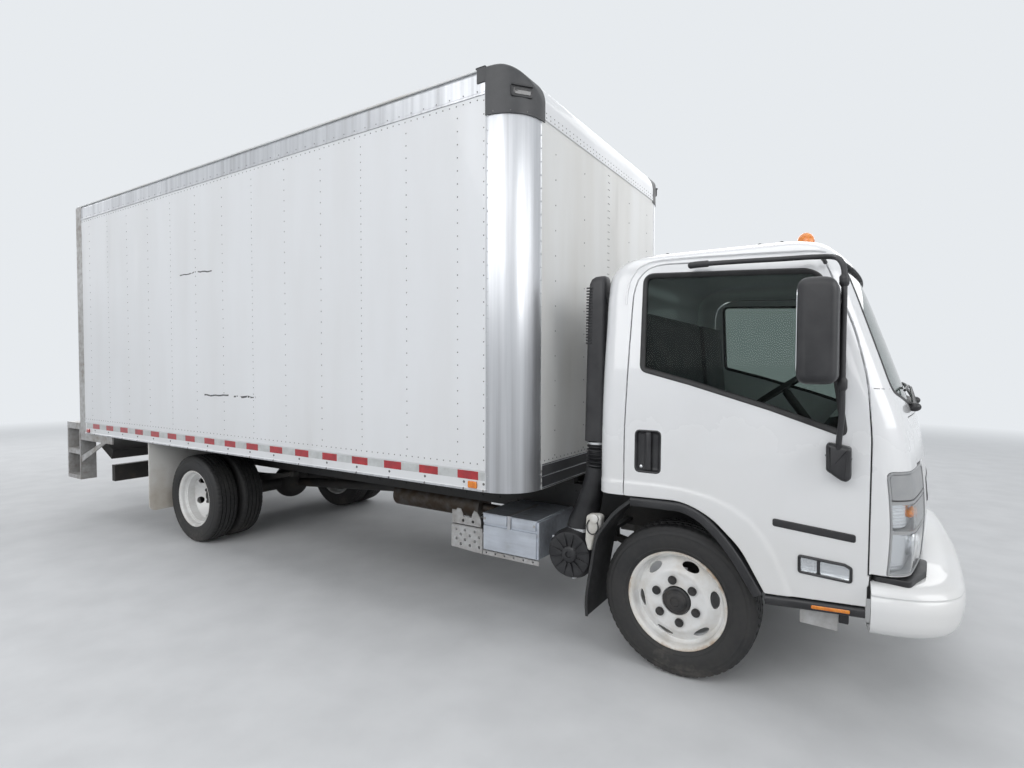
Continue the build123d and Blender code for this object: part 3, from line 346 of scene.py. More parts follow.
def cab_skin(places, depth):
    """Points of the skin: length round the section from the middle of the back, length up the skin.
    The right side comes first; past the nose's middle the length goes on over the left side."""
    around, rows = places[:, 0], places[:, 1]
    far = (around > stretches[5]) | (around < 0)
    around = np.abs(np.where(around > stretches[5], 2 * stretches[5] - around, around))
    z, front, half, back = section_at(rows)
    rise = np.clip((z - shoulder_z) / (crown_z - shoulder_z), 0, 1)
    inset = depth * np.minimum(1, 4 * half)
    front, half, back = front - inset, np.maximum(half - inset, 0), back + inset
    z = z - depth * rise
    centre_x, centre_y, radius = corner_centre(front, half, depth)
    rear = np.minimum(back_corner - depth, 0.45 * half)
    bow = bow_radius - depth
    turn = np.arctan2(centre_y, centre_x - front + bow)
    zone = np.clip(np.searchsorted(stretches, around, side="right") - 1, 0, 4)
    share = (around - stretches[zone]) / (stretches[zone + 1] - stretches[zone])
    rear_turn = share * math.pi / 2
    front_turn = -math.pi / 2 + share * (math.pi / 2 - turn)
    bow_turn = -turn * (1 - share)
    x = np.choose(zone, [
        back,
        back + rear - rear * np.cos(rear_turn),
        back + rear + share * (centre_x - back - rear),
        centre_x + radius * np.cos(front_turn),
        front - bow + bow * np.cos(bow_turn),
    ])
    y = np.choose(zone, [
        -share * (half - rear),
        -(half - rear) - rear * np.sin(rear_turn),
        -half,
        -centre_y + radius * np.sin(front_turn),
        bow * np.sin(bow_turn),
    ])
    if depth < wall / 2:
        y = y - np.where((zone == 1) | (zone == 2), swage(x, z), 0)
    return np.stack([x + front_axle_x, np.where(far, -y, y), z], 1)


def row_of(z):
    return np.interp(z, fine_sections[:, 0], fine_rows) + np.minimum(z - fine_sections[0, 0], 0)


panel_bottom = 0.56


def from_side(outline):
    """An outline seen from the right, (x, z), laid on the skin."""
    x, rows = outline[:, 0], row_of(outline[:, 1])
    _, front, half, back = section_at(rows)
    centre_x, centre_y, radius = corner_centre(front, half, 0)
    turn = np.arctan2(centre_y, centre_x - front + bow_radius)
    start = back + back_corner
    corner_end = centre_x + radius * np.cos(turn)
    flat = stretches[2] + (x - start) / (centre_x - start) * (stretches[3] - stretches[2])
    angle = np.arcsin(np.clip((x - centre_x) / radius, 0, 1)) / (math.pi / 2 - turn)
    bent = stretches[3] + angle * (stretches[4] - stretches[3])
    bow_angle = np.arccos(np.clip((x - front + bow_radius) / bow_radius, -1, 1)) / turn
    bow = stretches[5] - np.clip(bow_angle, 0, 1) * (stretches[5] - stretches[4])
    rear_angle = np.arccos(np.clip(1 - (x - back) / back_corner, 0, 1)) / (math.pi / 2)
    rear = stretches[1] + rear_angle * (stretches[2] - stretches[1])
    around = np.where(x > centre_x, bent, np.where(x < start, rear, flat))
    around = np.where(x > corner_end, bow, around)
    around = np.where(x > front, stretches[5] + 0.5, np.where(x < back, -0.5, around))
    return np.stack([around, rows], 1)


def from_front(outline):
    """An outline seen from ahead, (distance to the right, z), laid on the skin."""
    y, rows = outline[:, 0], row_of(outline[:, 1])
    _, front, half, _ = section_at(rows)
    centre_x, centre_y, radius = corner_centre(front, half, 0)
    turn = np.arctan2(centre_y, centre_x - front + bow_radius)
    share = np.arcsin(np.clip(y / bow_radius, -1, 1)) / turn
    bow = stretches[5] - share * (stretches[5] - stretches[4])
    corner_angle = np.arccos(np.clip((y - centre_y) / radius, 0, 1)) / (math.pi / 2 - turn)
    corner = stretches[3] + corner_angle * (stretches[4] - stretches[3])
    return np.stack([np.where(share > 1, corner, bow), rows], 1)


def from_back(outline):
    """An outline seen from behind, (distance to the right, z), laid on the skin."""
    rows = row_of(outline[:, 1])
    half = section_at(rows)[2]
    return np.stack([outline[:, 0] / (half - back_corner) * stretches[1], rows], 1)


def rounded(points, radii, step=0.006):
    """A closed outline with each corner rounded to its own radius, in short steps."""
    points = np.array(points, float)
    count = len(points)
    radii = [radii] * count if isinstance(radii, (int, float)) else radii
    line = []
    for index in range(count):
        before, corner, after = points[index - 1], points[index], points[(index + 1) % count]
        back_run, on_run = before - corner, after - corner
        back_length, on_length = np.linalg.norm(back_run), np.linalg.norm(on_run)
        half_angle = math.acos(np.clip(np.dot(back_run, on_run) / back_length / on_length, -1, 1)) / 2
        reach = min(radii[index] / max(math.tan(half_angle), 1e-3), 0.49 * min(back_length, on_length))
        start, end = corner + back_run / back_length * reach, corner + on_run / on_length * reach
        for share in np.linspace(0, 1, 9 if reach > 1e-6 else 1):
            line.append((1 - share) ** 2 * start + 2 * share * (1 - share) * corner + share**2 * end)
    line.append(line[0])
    line = np.array(line)
    lengths = lengths_along(line)
    wanted = np.linspace(0, lengths[-1], max(8, int(lengths[-1] / step)) + 1)
    return np.stack([np.interp(wanted, lengths, line[:, axis]) for axis in (0, 1)], 1)


def box_of(x_low, x_high, z_low, z_high):
    return [(x_low, z_low), (x_high, z_low), (x_high, z_high), (x_low, z_high)]


def grown(outline, distance):
    """The outline moved outwards by a distance."""
    ring = outline[:-1]
    run = np.roll(ring, -1, 0) - np.roll(ring, 1, 0)
    run /= np.maximum(np.linalg.norm(run, axis=1), 1e-9)[:, None]
    area = np.sum(ring[:, 0] * np.roll(ring[:, 1], -1) - np.roll(ring[:, 0], -1) * ring[:, 1])
    side = 1 if area > 0 else -1
    ring = ring + side * distance * np.stack([run[:, 1], -run[:, 0]], 1)
    return np.concatenate([ring, ring[:1]])


def within(outline, points):
    """Which points lie inside a closed outline."""
    inside = np.zeros(len(points), bool)
    x, y = points[:, 0], points[:, 1]
    for (x0, y0), (x1, y1) in zip(outline[:-1], outline[1:]):
        crosses = (y0 > y) != (y1 > y)
        if crosses.any():
            inside ^= crosses & (x < (x1 - x0) * (y - y0) / (y1 - y0 + 1e-12) + x0)
    return inside


def trimmed_sheet(surface, columns, rows, inside, outside, depth, edge=panel_edge, seams=(), skin=0.0):
    """A sheet on a surface, kept inside the first outlines and outside the second ones.
    Corner points beside a trimmed line are moved onto it, and its edge gets a small round."""
    across, along = len(columns), len(rows)
    places = np.stack(np.meshgrid(columns, rows, indexing="ij"), 2).reshape(-1, 2)
    index = np.arange(across * along).reshape(across, along)
    quads = np.stack([index[:-1, :-1], index[1:, :-1], index[1:, 1:], index[:-1, 1:]], 2).reshape(-1, 4)
    centres = places[quads].mean(1)
    keep = np.ones(len(quads), bool)
    for outline in inside:
        keep &= within(outline, centres)
    for outline in outside:
        keep &= ~within(outline, centres)
    quads, dropped = quads[keep], quads[~keep]
    kept_points, lost_points = np.unique(quads), np.unique(dropped)
    border = np.intersect1d(kept_points, lost_points)
    rims = places.copy()
    if len(border) and (inside or outside):
        best = np.full(len(border), 1e9)
        target = places[border].copy()
        for line in (*inside, *outside):
            distance, nearest, share = distance_to(line, places[border])
            distance = np.abs(distance)
            spot = line[nearest] + share[:, None] * (line[nearest + 1] - line[nearest])
            closer = distance < best
            best[closer], target[closer] = distance[closer], spot[closer]
        rims[border] = target
        middle = np.zeros((len(places), 2))
        seen_count = np.zeros(len(places))
        for corner in range(4):
            np.add.at(middle, quads[:, corner], places[quads].mean(1))
            np.add.at(seen_count, quads[:, corner], 1)
        inward = middle[border] / seen_count[border][:, None] - target
        inward /= np.maximum(np.linalg.norm(inward, axis=1), 1e-9)[:, None]
        places[border] = target + inward * edge
    sides = np.concatenate([quads[:, [a, (a + 1) % 4]] for a in range(4)])
    pairs = np.sort(sides, 1)
    _, first, counts = np.unique(pairs, axis=0, return_index=True, return_counts=True)
    open_sides = sides[first[counts == 1]]
    for axis, value in seams:
        on_seam = np.isclose(rims[:, axis], value)
        open_sides = open_sides[~(on_seam[open_sides[:, 0]] & on_seam[open_sides[:, 1]])]
    rim_points = np.unique(open_sides)
    outer = surface(places, skin)
    inner = surface(rims, depth)
    edge_ring = surface(rims[rim_points], skin + edge)
    rim_index = np.zeros(len(places), int)
    rim_index[rim_points] = np.arange(len(rim_points)) + 2 * len(places)
    points = np.concatenate([outer, inner, edge_ring])
    faces = [tuple(quad) for quad in quads.tolist()]
    faces += [tuple(reversed(quad)) for quad in (quads + len(places)).tolist()]
    for a, b in open_sides.tolist():
        faces.append((b, a, int(rim_index[a]), int(rim_index[b])))
        faces.append((int(rim_index[b]), int(rim_index[a]), a + len(places), b + len(places)))
    used = np.unique(np.concatenate([np.array(face) for face in faces])) if faces else []
    renumber = np.zeros(len(points), int)
    renumber[used] = np.arange(len(used))
    return points[used], [tuple(renumber[list(face)].tolist()) for face in faces]


def strip(surface, line, profile, closed=True):
    """A strip along a line on a surface; its profile lists distance to the line's right and depth."""
    if closed:
        line = line[:-1]
        run = np.roll(line, -1, 0) - np.roll(line, 1, 0)
    else:
        run = np.gradient(line, axis=0)
    run = run / np.maximum(np.linalg.norm(run, axis=1), 1e-9)[:, None]
    side = np.stack([run[:, 1], -run[:, 0]], 1)
    rings = np.array([surface(line + distance * side, depth) for distance, depth in profile])
    if closed:
        return loop_rings(list(rings))
    return loop_rings(list(rings.transpose(1, 0, 2)), "flat")


def pad(surface, outline, profile):
    """A pad on a surface, from its face to its back: distance outside the outline, and depth."""
    return loop_rings([surface(grown(outline, distance)[:-1], depth) for distance, depth in profile], "flat")


def loop_rings(rings, ends="loop"):
    """Faces between rings of equal length; the last ring joins the first, or flat ends close the row."""
    count = len(rings[0])
    rows = len(rings)
    faces = []
    for row in range(rows if ends == "loop" else rows - 1):
        after = (row + 1) % rows
        for k in range(count):
            on = (k + 1) % count
            faces.append((row * count + k, row * count + on, after * count + on, after * count + k))
    if ends == "flat":
        faces.append(tuple(reversed(range(count))))
        faces.append(tuple(range((rows - 1) * count, rows * count)))
    return np.concatenate(rings), faces


def mirrored(shape):
    points, faces = shape
    return points * np.array([1, -1, 1]), [tuple(reversed(face)) for face in faces]


def both(shape):
    """A shape together with its mirror image on the truck's other side."""
    return joined(shape, mirrored(shape))


def joined(*shapes):
    points, faces, start = [], [], 0
    for shape_points, shape_faces in shapes:
        points.append(np.asarray(shape_points, float))
        faces += [tuple(corner + start for corner in face) for face in shape_faces]
        start += len(shape_points)
    return np.concatenate(points), faces


def add_piece(name, shape, finish, body, slot, *replaced, angle=35):
    """An object of the given points and faces, dressed, riding on its body."""
    points, faces = shape
    mesh = bpy.data.meshes.new(name)
    mesh.from_pydata([tuple(point) for point in points], [], faces)
    form = bmesh.new()
    form.from_mesh(mesh)
    bmesh.ops.remove_doubles(form, verts=form.verts, dist=2e-5)
    bmesh.ops.dissolve_degenerate(form, edges=form.edges, dist=1e-5)
    bmesh.ops.recalc_face_normals(form, faces=form.faces)
    form.to_mesh(mesh)
    form.free()
    mesh.shade_smooth()
    mesh.set_sharp_from_angle(angle=math.radians(angle))
    mesh.materials.append(finish.material)
    made = bpy.data.objects.new(name, mesh)
    bpy.context.collection.objects.link(made)
    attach(made, body)
    if replaced:
        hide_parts(*replaced)


def add_pair(name, shape, finish, body, slot, *replaced, angle=35):
    """A piece of the right side and its mirror image on the left, each riding on its own side's body."""
    for side, flip in (("_right", lambda part: part), ("_left", mirrored)):
        nodes = [node + side for node in replaced]
        add_piece(name + side, flip(shape), finish, body + side, slot, *nodes, angle=angle)


door_gap = 0.006
# x, z of each corner of the door, and the radius that rounds it
door_corners = [
    (0.852, 0.42, 0), (0.858, 1.333, 1.0), (0.84, 1.589, 1.0), (0.787, 1.809, 1.0), (0.742, 1.928, 1.0),
    (0.655, 2.15, 0.05), (0.315, 2.166, 1.0), (-0.095, 2.184, 0.3), (-0.168, 2.166, 0.1),
    (-0.214, 2.112, 0.1), (-0.236, 2.03, 0.3), (-0.252, 1.306, 1.0), (-0.252, 0.42, 0),
]
# x, z of each corner of the side window, and its radius
window_corners = [
    (-0.178, 1.624, 0.045), (0.081, 1.556, 0.6), (0.456, 1.444, 0.6), (0.771, 1.335, 0.03),
    (0.66, 2.062, 0.1), (0.6, 2.098, 0.12), (-0.186, 2.14, 0.055),
]
windscreen_corners = [(-0.9, 1.545), (-0.56, 1.47), (0.56, 1.47), (0.9, 1.545), (0.83, 2.14), (-0.83, 2.14)]
back_window_corners = box_of(-0.56, 0.56, 1.45, 1.9)
front_panel_corners = [
    (-0.585, 0.6), (0.585, 0.6), (0.585, 1.212), (0.775, 1.212), (0.775, 1.415), (-0.775, 1.415),
    (-0.775, 1.212), (-0.585, 1.212),
]
arch_corners = [
    (-0.6, 0.0, 0), (-0.6, 0.955, 0), (-0.221, 0.959, 0), (0.06, 0.966, 0.3), (0.198, 0.905, 0.35),
    (0.335, 0.77, 0.35), (0.442, 0.571, 0.01), (0.852, 0.598, 0), (0.862, 0.75, 0), (1.4, 0.75, 0),
    (1.4, 0.0, 0),
]


def with_radii(corners, step=0.006):
    """A rounded outline from corners that name their own radius."""
    return rounded([corner[:2] for corner in corners], [corner[2] for corner in corners], step)


door_line, window_line, arch_line = map(with_radii, (door_corners, window_corners, arch_corners))
windscreen_line = rounded(windscreen_corners, 0.06)
back_window_line = rounded(back_window_corners, 0.05)
front_panel_line = rounded(front_panel_corners, 0.004)

door_cut = from_side(door_line)
shell_cut = from_side(grown(door_line, door_gap))
window_cut = from_side(window_line)
arch_cut = from_side(arch_line)
windscreen_cut = from_front(windscreen_line)
back_window_cut = from_back(back_window_line)
front_panel_cut = from_front(front_panel_line)
front_panel_gap = from_front(grown(front_panel_line, 0.004))


def on_skin(corners, radius, mapping=from_side, step=0.006):
    return mapping(rounded(corners, radius, step))


# the headlamp wraps the front corner: its side edge is given along the cab, its other edge across it
lamp_back_x, lamp_inner_y = 0.932, 0.62
lamp_levels = [0.752, 0.942, 1.069, 1.2]
lamp_start = from_side(np.array([(lamp_back_x, 0.98)]))[0, 0]
lamp_end = from_front(np.array([(lamp_inner_y, 0.98)]))[0, 0]
lamp_radii = [0.004, 0.004, 0.05, 0.03]
lamp_cut = rounded(box_of(lamp_start, lamp_end, row_of(lamp_levels[0]), row_of(lamp_levels[3])), lamp_radii)
handle_cut = on_skin(box_of(-0.191, -0.059, 1.095, 1.31), 0.024)
side_lamp_cut = on_skin(
    [(0.585, 0.704), (0.797, 0.694), (0.797, 0.762), (0.77, 0.776), (0.585, 0.786)], 0.012
)

# lengths round the section and up the skin, closest together over the wheel arch
cab_columns = np.unique(np.concatenate([
    np.linspace(0, stretches[1], 36),
    np.linspace(stretches[1], stretches[2], 9),
    np.linspace(stretches[2], stretches[3], 126),
    np.linspace(stretches[3], stretches[4], 16),
    np.linspace(stretches[4], stretches[5], 40),
]))
cab_rows = np.concatenate([
    np.linspace(row_of(panel_bottom), row_of(1.1), 56),
    np.linspace(row_of(1.1), row_of(2.08), 48)[1:],
    np.linspace(row_of(2.08), skin_top, 34)[1:],
])
middles = ((0, 0.0), (0, stretches[5]), (1, skin_top))

cab_white = Finish("cab_white_paint", (0.8, 0.81, 0.82), 0.28, coat=1.0)
cab_dust = cab_white.noise(1.6, 5.0) * (1 - cab_white.z.step(0.5, 1.5)) + cab_white.noise(6.0, 6.0) * 0.25
cab_white.worn(
    cab_dust, ((0.05, (0.78, 0.79, 0.805)), (0.95, (0.7, 0.695, 0.675))), ((0.0, 0.24), (1.0, 0.4))
)
cab_white.set("Coat Weight", 1.0 - cab_dust * 0.7)

shell_half = trimmed_sheet(
    cab_skin, cab_columns, cab_rows, [],
    [shell_cut, arch_cut, windscreen_cut, back_window_cut, front_panel_gap, lamp_cut], wall, seams=middles,
)
add_piece("cab_skin", both(shell_half), cab_white, "cab", "white_paint", "cab_shell")

# Front panel: one pressed sheet between the headlamps, under the windscreen, with a slot for the grille.
grille_corners = [(-0.43, 0.985), (0.43, 0.985), (0.46, 1.1), (-0.46, 1.1)]
grille_line = rounded(grille_corners, 0.018)
panel_half = trimmed_sheet(
    cab_skin, cab_columns, cab_rows, [front_panel_cut], [arch_cut, from_front(grille_line)], wall,
    seams=middles,
)
add_piece("front_panel_skin", both(panel_half), cab_white, "cab", "white_paint", "front_panel")

# Doors: pressed sheets in the same white, hinged at their front edge.
# The window, the dish of the handle and the side lamp are cut out of them.
right_door = trimmed_sheet(
    cab_skin, cab_columns, cab_rows, [door_cut], [window_cut, arch_cut, handle_cut, side_lamp_cut], wall,
)
add_pair("door_skin", right_door, cab_white, "door", "white_paint", "door")

# Windows: tinted safety glass six millimetres thick, set sixteen behind the skin.
# Black rubber gaskets hold the panes.
glass_depth = 0.016
glass_thickness = 0.006
glass = Finish("tinted_glass", (0.36, 0.41, 0.39), 0.02)
glass.shader.inputs["Transmission Weight"].default_value = 1.0
glass.shader.inputs["IOR"].default_value = 1.12
smear = glass.noise(2.2, 4.0, (1, 1, 0.4))
glass.set("Roughness", smear.greys((0.45, 0.02), (0.75, 0.09)))
rubber = Finish("black_rubber", (0.018, 0.018, 0.019), 0.55)
rubber_wear = rubber.noise(14, 5)
rubber.worn(
    rubber_wear, ((0.35, (0.012, 0.012, 0.013)), (0.8, (0.04, 0.04, 0.04))), ((0.3, 0.42), (0.8, 0.7))
)


def pane(columns, rows, outline):
    return trimmed_sheet(
        cab_skin, columns, rows, [outline], [], glass_depth + glass_thickness, 0.001, skin=glass_depth,
    )


side_pane = pane(cab_columns, cab_rows, window_cut)
add_pair("side_glass", side_pane, glass, "door", "tinted_glass", "door_glass")
nose_columns = np.linspace(stretches[3] - 0.05, 2 * stretches[5] - stretches[3] + 0.05, 110)
windscreen = pane(nose_columns, cab_rows, windscreen_cut)
back_columns = np.linspace(-0.75, 0.75, 60)
add_piece(
    "screen_glass", joined(windscreen, pane(back_columns, cab_rows, back_window_cut)), glass, "cab",
    "tinted_glass", "cab_windows",
)
gasket_profile = [
    (0.006, 0.004), (0.004, -0.002), (-0.004, -0.004), (-0.016, 0.002), (-0.024, 0.012), (-0.024, 0.026),
    (0.003, 0.026),
]
side_gasket = strip(cab_skin, window_cut, gasket_profile)
add_pair("side_gasket", side_gasket, rubber, "door", "black_plastic")
screen_profile = [
    (0.008, 0.004), (0.005, -0.003), (-0.008, -0.003), (-0.026, 0.006), (-0.03, 0.014), (-0.03, 0.024),
    (0.004, 0.024),
]
add_piece(
    "screen_gaskets",
    joined(strip(cab_skin, windscreen_cut, screen_profile), strip(cab_skin, back_window_cut, gasket_profile)),
    rubber, "cab", "black_plastic",
)

# Door seals: black rubber in the gap round each door, and a hairline seam on each pillar.
# The seal's outline is closed, so the run from the door's rear edge back to its front is cut off.
seal_foot = (-0.256, 0.985)
seal_line = from_side(rounded([
    (0.856, 0.63), (0.862, 1.333), (0.844, 1.589), (0.791, 1.809), (0.746, 1.928), (0.658, 2.154),
    (0.315, 2.17), (-0.06, 2.187), (-0.134, 2.168), (-0.188, 2.115), (-0.222, 2.03), (-0.256, 1.306),
    (-0.256, 0.99), (-0.256, 0.98),
], [0, 1, 1, 1, 1, 0.05, 1, 0.3, 0.1, 0.1, 0.3, 1, 0, 0])[:-1])
seal_end = np.abs(seal_line - from_side(np.array([seal_foot]))).sum(1).argmin()
seal_line = seal_line[:seal_end]
seal = strip(cab_skin, seal_line, [(-0.011, 0.02), (0.011, 0.02), (0.011, 0.04), (-0.011, 0.04)], False)
pillar_seam = strip(
    cab_skin, from_side(np.array([(0.863, 1.552), (0.88, 1.551), (0.9, 1.55), (0.922, 1.549)])),
    [(-0.0016, -0.0006), (0.0016, -0.0006), (0.0016, 0.004), (-0.0016, 0.004)], False,
)
add_piece("door_seals", both(joined(seal, pillar_seam)), rubber, "cab", "black_plastic")

# Drip rails: a rolled gutter of the same white steel over each door.
drip_line = from_side(np.array([
    (-0.276, 1.98), (-0.271, 2.06), (-0.248, 2.136), (-0.2, 2.188), (-0.12, 2.209), (0.0, 2.21),
    (0.2, 2.203), (0.42, 2.194), (0.6, 2.184), (0.662, 2.176),
]))
drip_share = np.linspace(0, 1, len(drip_line))
drip_fine = smooth_curve(drip_share, drip_line, np.linspace(0, 1, 90))
drip = strip(cab_skin, drip_fine, [
    (-0.006, 0.002), (-0.006, -0.006), (-0.003, -0.009), (0.003, -0.009), (0.006, -0.006), (0.006, 0.002),
], False)
add_piece("drip_rails", both(drip), cab_white, "cab", "white_paint")

# Door handles: black moulded dishes let into the doors, with an upright grip and a lock.
handle_dish = pad(cab_skin, handle_cut, [
    (-0.024, 0.02), (-0.014, 0.019), (-0.008, 0.012), (-0.005, 0.002), (-0.002, -0.0015), (0.003, -0.0015),
    (0.005, 0.0), (0.0, 0.004), (0.0, 0.03),
])
grip = pad(cab_skin, on_skin(box_of(-0.143, -0.107, 1.1, 1.306), 0.012), [
    (-0.012, -0.001), (-0.005, 0.001), (-0.001, 0.005), (0.0, 0.01), (-0.003, 0.02),
])
keyhole = pad(cab_skin, on_skin(box_of(-0.172, -0.156, 1.112, 1.128), 0.0079, step=0.002), [
    (-0.003, 0.01), (0.0, 0.012), (0.001, 0.022),
])
black_plastic = Finish("black_plastic", (0.016, 0.016, 0.018), 0.42)
plastic_age = black_plastic.noise(9, 6)
black_plastic.worn(
    plastic_age, ((0.35, (0.011, 0.011, 0.013)), (0.75, (0.032, 0.032, 0.034))), ((0.3, 0.34), (0.8, 0.6))
)
black_plastic.bump(black_plastic.noise(420, 2), 0.0004)
steel = Finish("bright_steel", (0.62, 0.63, 0.64), 0.3, metallic=1.0)
steel_grain = steel.noise(40, 5)
steel.set("Roughness", steel_grain.greys((0.3, 0.22), (0.8, 0.46)))
add_pair("handle", joined(handle_dish, grip), black_plastic, "door", "black_plastic", angle=50)
add_pair("lock", keyhole, steel, "door", "bright_aluminium")


# Grille: a black moulding clipped into the slot of the front panel.
# A bead runs round the slot, and two slats cross it in front of a dark back.
def across_front(z, half=0.452):
    return from_front(np.column_stack([np.linspace(-half, half, 80), np.full(80, z)]))


grille_frame = strip(
    cab_skin, from_front(grille_line), [(distance * 0.5, depth * 0.8) for distance, depth in gasket_profile]
)
grille_back = strip(cab_skin, across_front(1.0425, 0.466), box_of(-0.064, 0.064, 0.022, 0.028), False)
slats = [
    strip(
        cab_skin, across_front(z),
        [(-0.004, 0.004), (0.001, 0.001), (0.009, 0.01), (0.009, 0.023), (-0.004, 0.023)], False,
    )
    for z in (1.022, 1.062)
]
add_piece("grille", joined(grille_frame, grille_back, *slats), black_plastic, "cab", "black_plastic")

# Door strips: a plain bar of black plastic with rounded ends, glued low on each door.
strip_bar = pad(cab_skin, on_skin([(0.476, 0.905), (0.809, 0.878), (0.809, 0.914), (0.476, 0.941)], 0.01), [
    (-0.006, -0.0045), (-0.002, -0.004), (0.0, -0.0025), (0.0, 0.002),
])
add_pair("door_strip", strip_bar, black_plastic, "door", "black_plastic")

# Side lamps: clear lenses in a black bezel near the foot of each door, over a bright reflector.
lens = Finish("clear_lens", (0.93, 0.94, 0.95), 0.06)
lens.shader.inputs["Transmission Weight"].default_value = 1.0
lens.shader.inputs["IOR"].default_value = 1.25
lens_haze = lens.noise(12, 4)
lens.set("Roughness", lens_haze.greys((0.4, 0.05), (0.8, 0.16)))
reflector = Finish("lamp_reflector", (0.74, 0.75, 0.76), 0.22, metallic=0.9)
flutes = (reflector.z * 70.0) % 1.0
reflector.bump(abs(flutes - 0.5) * 2.0, 0.0007)
amber = Finish("amber_lens", (0.9, 0.26, 0.02), 0.25, coat=0.6)
amber_cells = (amber.x * 160.0) % 1.0
amber.bump(abs(amber_cells - 0.5) * 2.0, 0.002)
amber.worn(amber.noise(30, 3), ((0.35, (0.8, 0.2, 0.015)), (0.7, (0.95, 0.33, 0.03))))
bezel = joined(
    pad(
        cab_skin, side_lamp_cut,
        [(-0.011, 0.012), (-0.009, -0.006), (-0.004, -0.009), (0.002, -0.006), (0.003, 0.001), (0.0, 0.03)],
    ),
    pad(
        cab_skin, on_skin(box_of(0.662, 0.672, 0.708, 0.776), 0.002, step=0.003),
        [(-0.001, -0.006), (0.001, -0.003), (0.001, 0.012)],
    ),
)
lens_corners = (
    [(0.596, 0.714), (0.66, 0.712), (0.66, 0.77), (0.596, 0.776)],
    [(0.674, 0.711), (0.787, 0.705), (0.787, 0.754), (0.766, 0.766), (0.674, 0.77)],
)
side_lenses, side_reflectors = (
    joined(*(pad(cab_skin, on_skin(corners, 0.006, step=0.004), profile) for corners in lens_corners))
    for profile in (
        [(-0.004, -0.0065), (0.0, -0.005), (0.0, 0.0)], [(-0.003, 0.007), (0.0, 0.006), (0.0, 0.011)]
    )
)
add_pair("side_lamp_bezel", bezel, black_plastic, "door", "black_plastic")
add_pair("side_lamp_lens", side_lenses, lens, "door", "lamp_lens")
add_pair("side_lamp_reflector", side_reflectors, reflector, "door", "lamp_lens")

# Headlamp clusters: they wrap the front corners, in three storeys on a grey moulded body.
# The top one is blind and grey, the middle one has the orange bulb, the bottom one the headlamp bowl.
lamp_columns = np.linspace(lamp_start - 0.01, lamp_end + 0.01, 60)
lamp_rows = np.linspace(row_of(lamp_levels[0]) - 0.01, row_of(lamp_levels[3]) + 0.01, 66)
lamp_grey = Finish("lamp_grey", (0.3, 0.31, 0.32), 0.4)
lamp_grey.worn(lamp_grey.noise(8, 5), ((0.3, (0.27, 0.28, 0.29)), (0.8, (0.38, 0.38, 0.38))))


def lamp_storey(low, high, margin, radii):
    """The outline of one storey of the cluster, or of several, set in from its edges."""
    bottom, top = row_of(lamp_levels[low]) + margin, row_of(lamp_levels[high]) - margin
    return rounded(box_of(lamp_start + margin, lamp_end - margin, bottom, top), radii)


def lamp_sheet(outline, depth, edge=panel_edge, skin=0.0, every=1):
    return trimmed_sheet(
        cab_skin, lamp_columns[::every], lamp_rows[::every], [outline], [], depth, edge, skin=skin
    )


shelf_section = box_of(-0.006, 0.006, 0.001, 0.048)
rim_section = [
    (0.005, 0.001), (0.002, -0.002), (-0.004, -0.001), (-0.005, 0.006), (-0.005, 0.05), (0.005, 0.05)
]
grey_parts = joined(
    lamp_sheet(lamp_storey(0, 3, 0.002, lamp_radii), 0.06, skin=0.045),
    strip(cab_skin, lamp_storey(0, 3, 0.006, lamp_radii), rim_section),
    lamp_sheet(lamp_storey(2, 3, 0.01, [0.006, 0.006, 0.045, 0.026]), 0.02, 0.004, 0.002),
    *(strip(cab_skin, np.stack([lamp_columns, np.full(60, row_of(level))], 1)[2:-2], shelf_section, False)
      for level in lamp_levels[1:3]),
)
lamp_lenses = joined(
    *(lamp_sheet(lamp_storey(low, low + 1, 0.009, 0.006), 0.005, 0.001, 0.001) for low in (0, 1))
)
bowls = joined(*(lamp_sheet(lamp_storey(low, low + 1, 0.01, 0.02), 0.043, 0.004, 0.036, 2) for low in (0, 1)))


def ball(centre, radii, rings=8, sides=14):
    """A closed ellipsoid; its poles are on the vertical axis."""
    angles = np.linspace(0.12, math.pi - 0.12, rings)
    turns = np.linspace(0, 2 * math.pi, sides, endpoint=False)
    rows = [
        np.stack(
            [np.sin(angle) * np.cos(turns), np.sin(angle) * np.sin(turns), np.full(sides, np.cos(angle))], 1
        )
        * np.array(radii) + np.array(centre)
        for angle in angles
    ]
    return loop_rings(rows, "flat")


def lamp_point(share, z, depth):
    return cab_skin(np.array([(lamp_start + share * (lamp_end - lamp_start), row_of(z))]), depth)[0]


bulbs = joined(
    ball(lamp_point(0.52, 1.005, 0.024), (0.014, 0.014, 0.026)),
    ball(lamp_point(0.42, 1.005, 0.028), (0.016, 0.016, 0.018)),
)
bowl_ring = ball(lamp_point(0.62, 0.85, 0.026), (0.03, 0.034, 0.06), 10, 20)
lamp_parts = (
    ("lamp_body", grey_parts, lamp_grey), ("lamp_lenses", lamp_lenses, lens),
    ("lamp_bowls", joined(bowls, bowl_ring), reflector), ("lamp_bulbs", bulbs, amber),
)
for name, shape, finish in lamp_parts:
    add_piece(name, both(shape), finish, "cab", "lamp_lens")

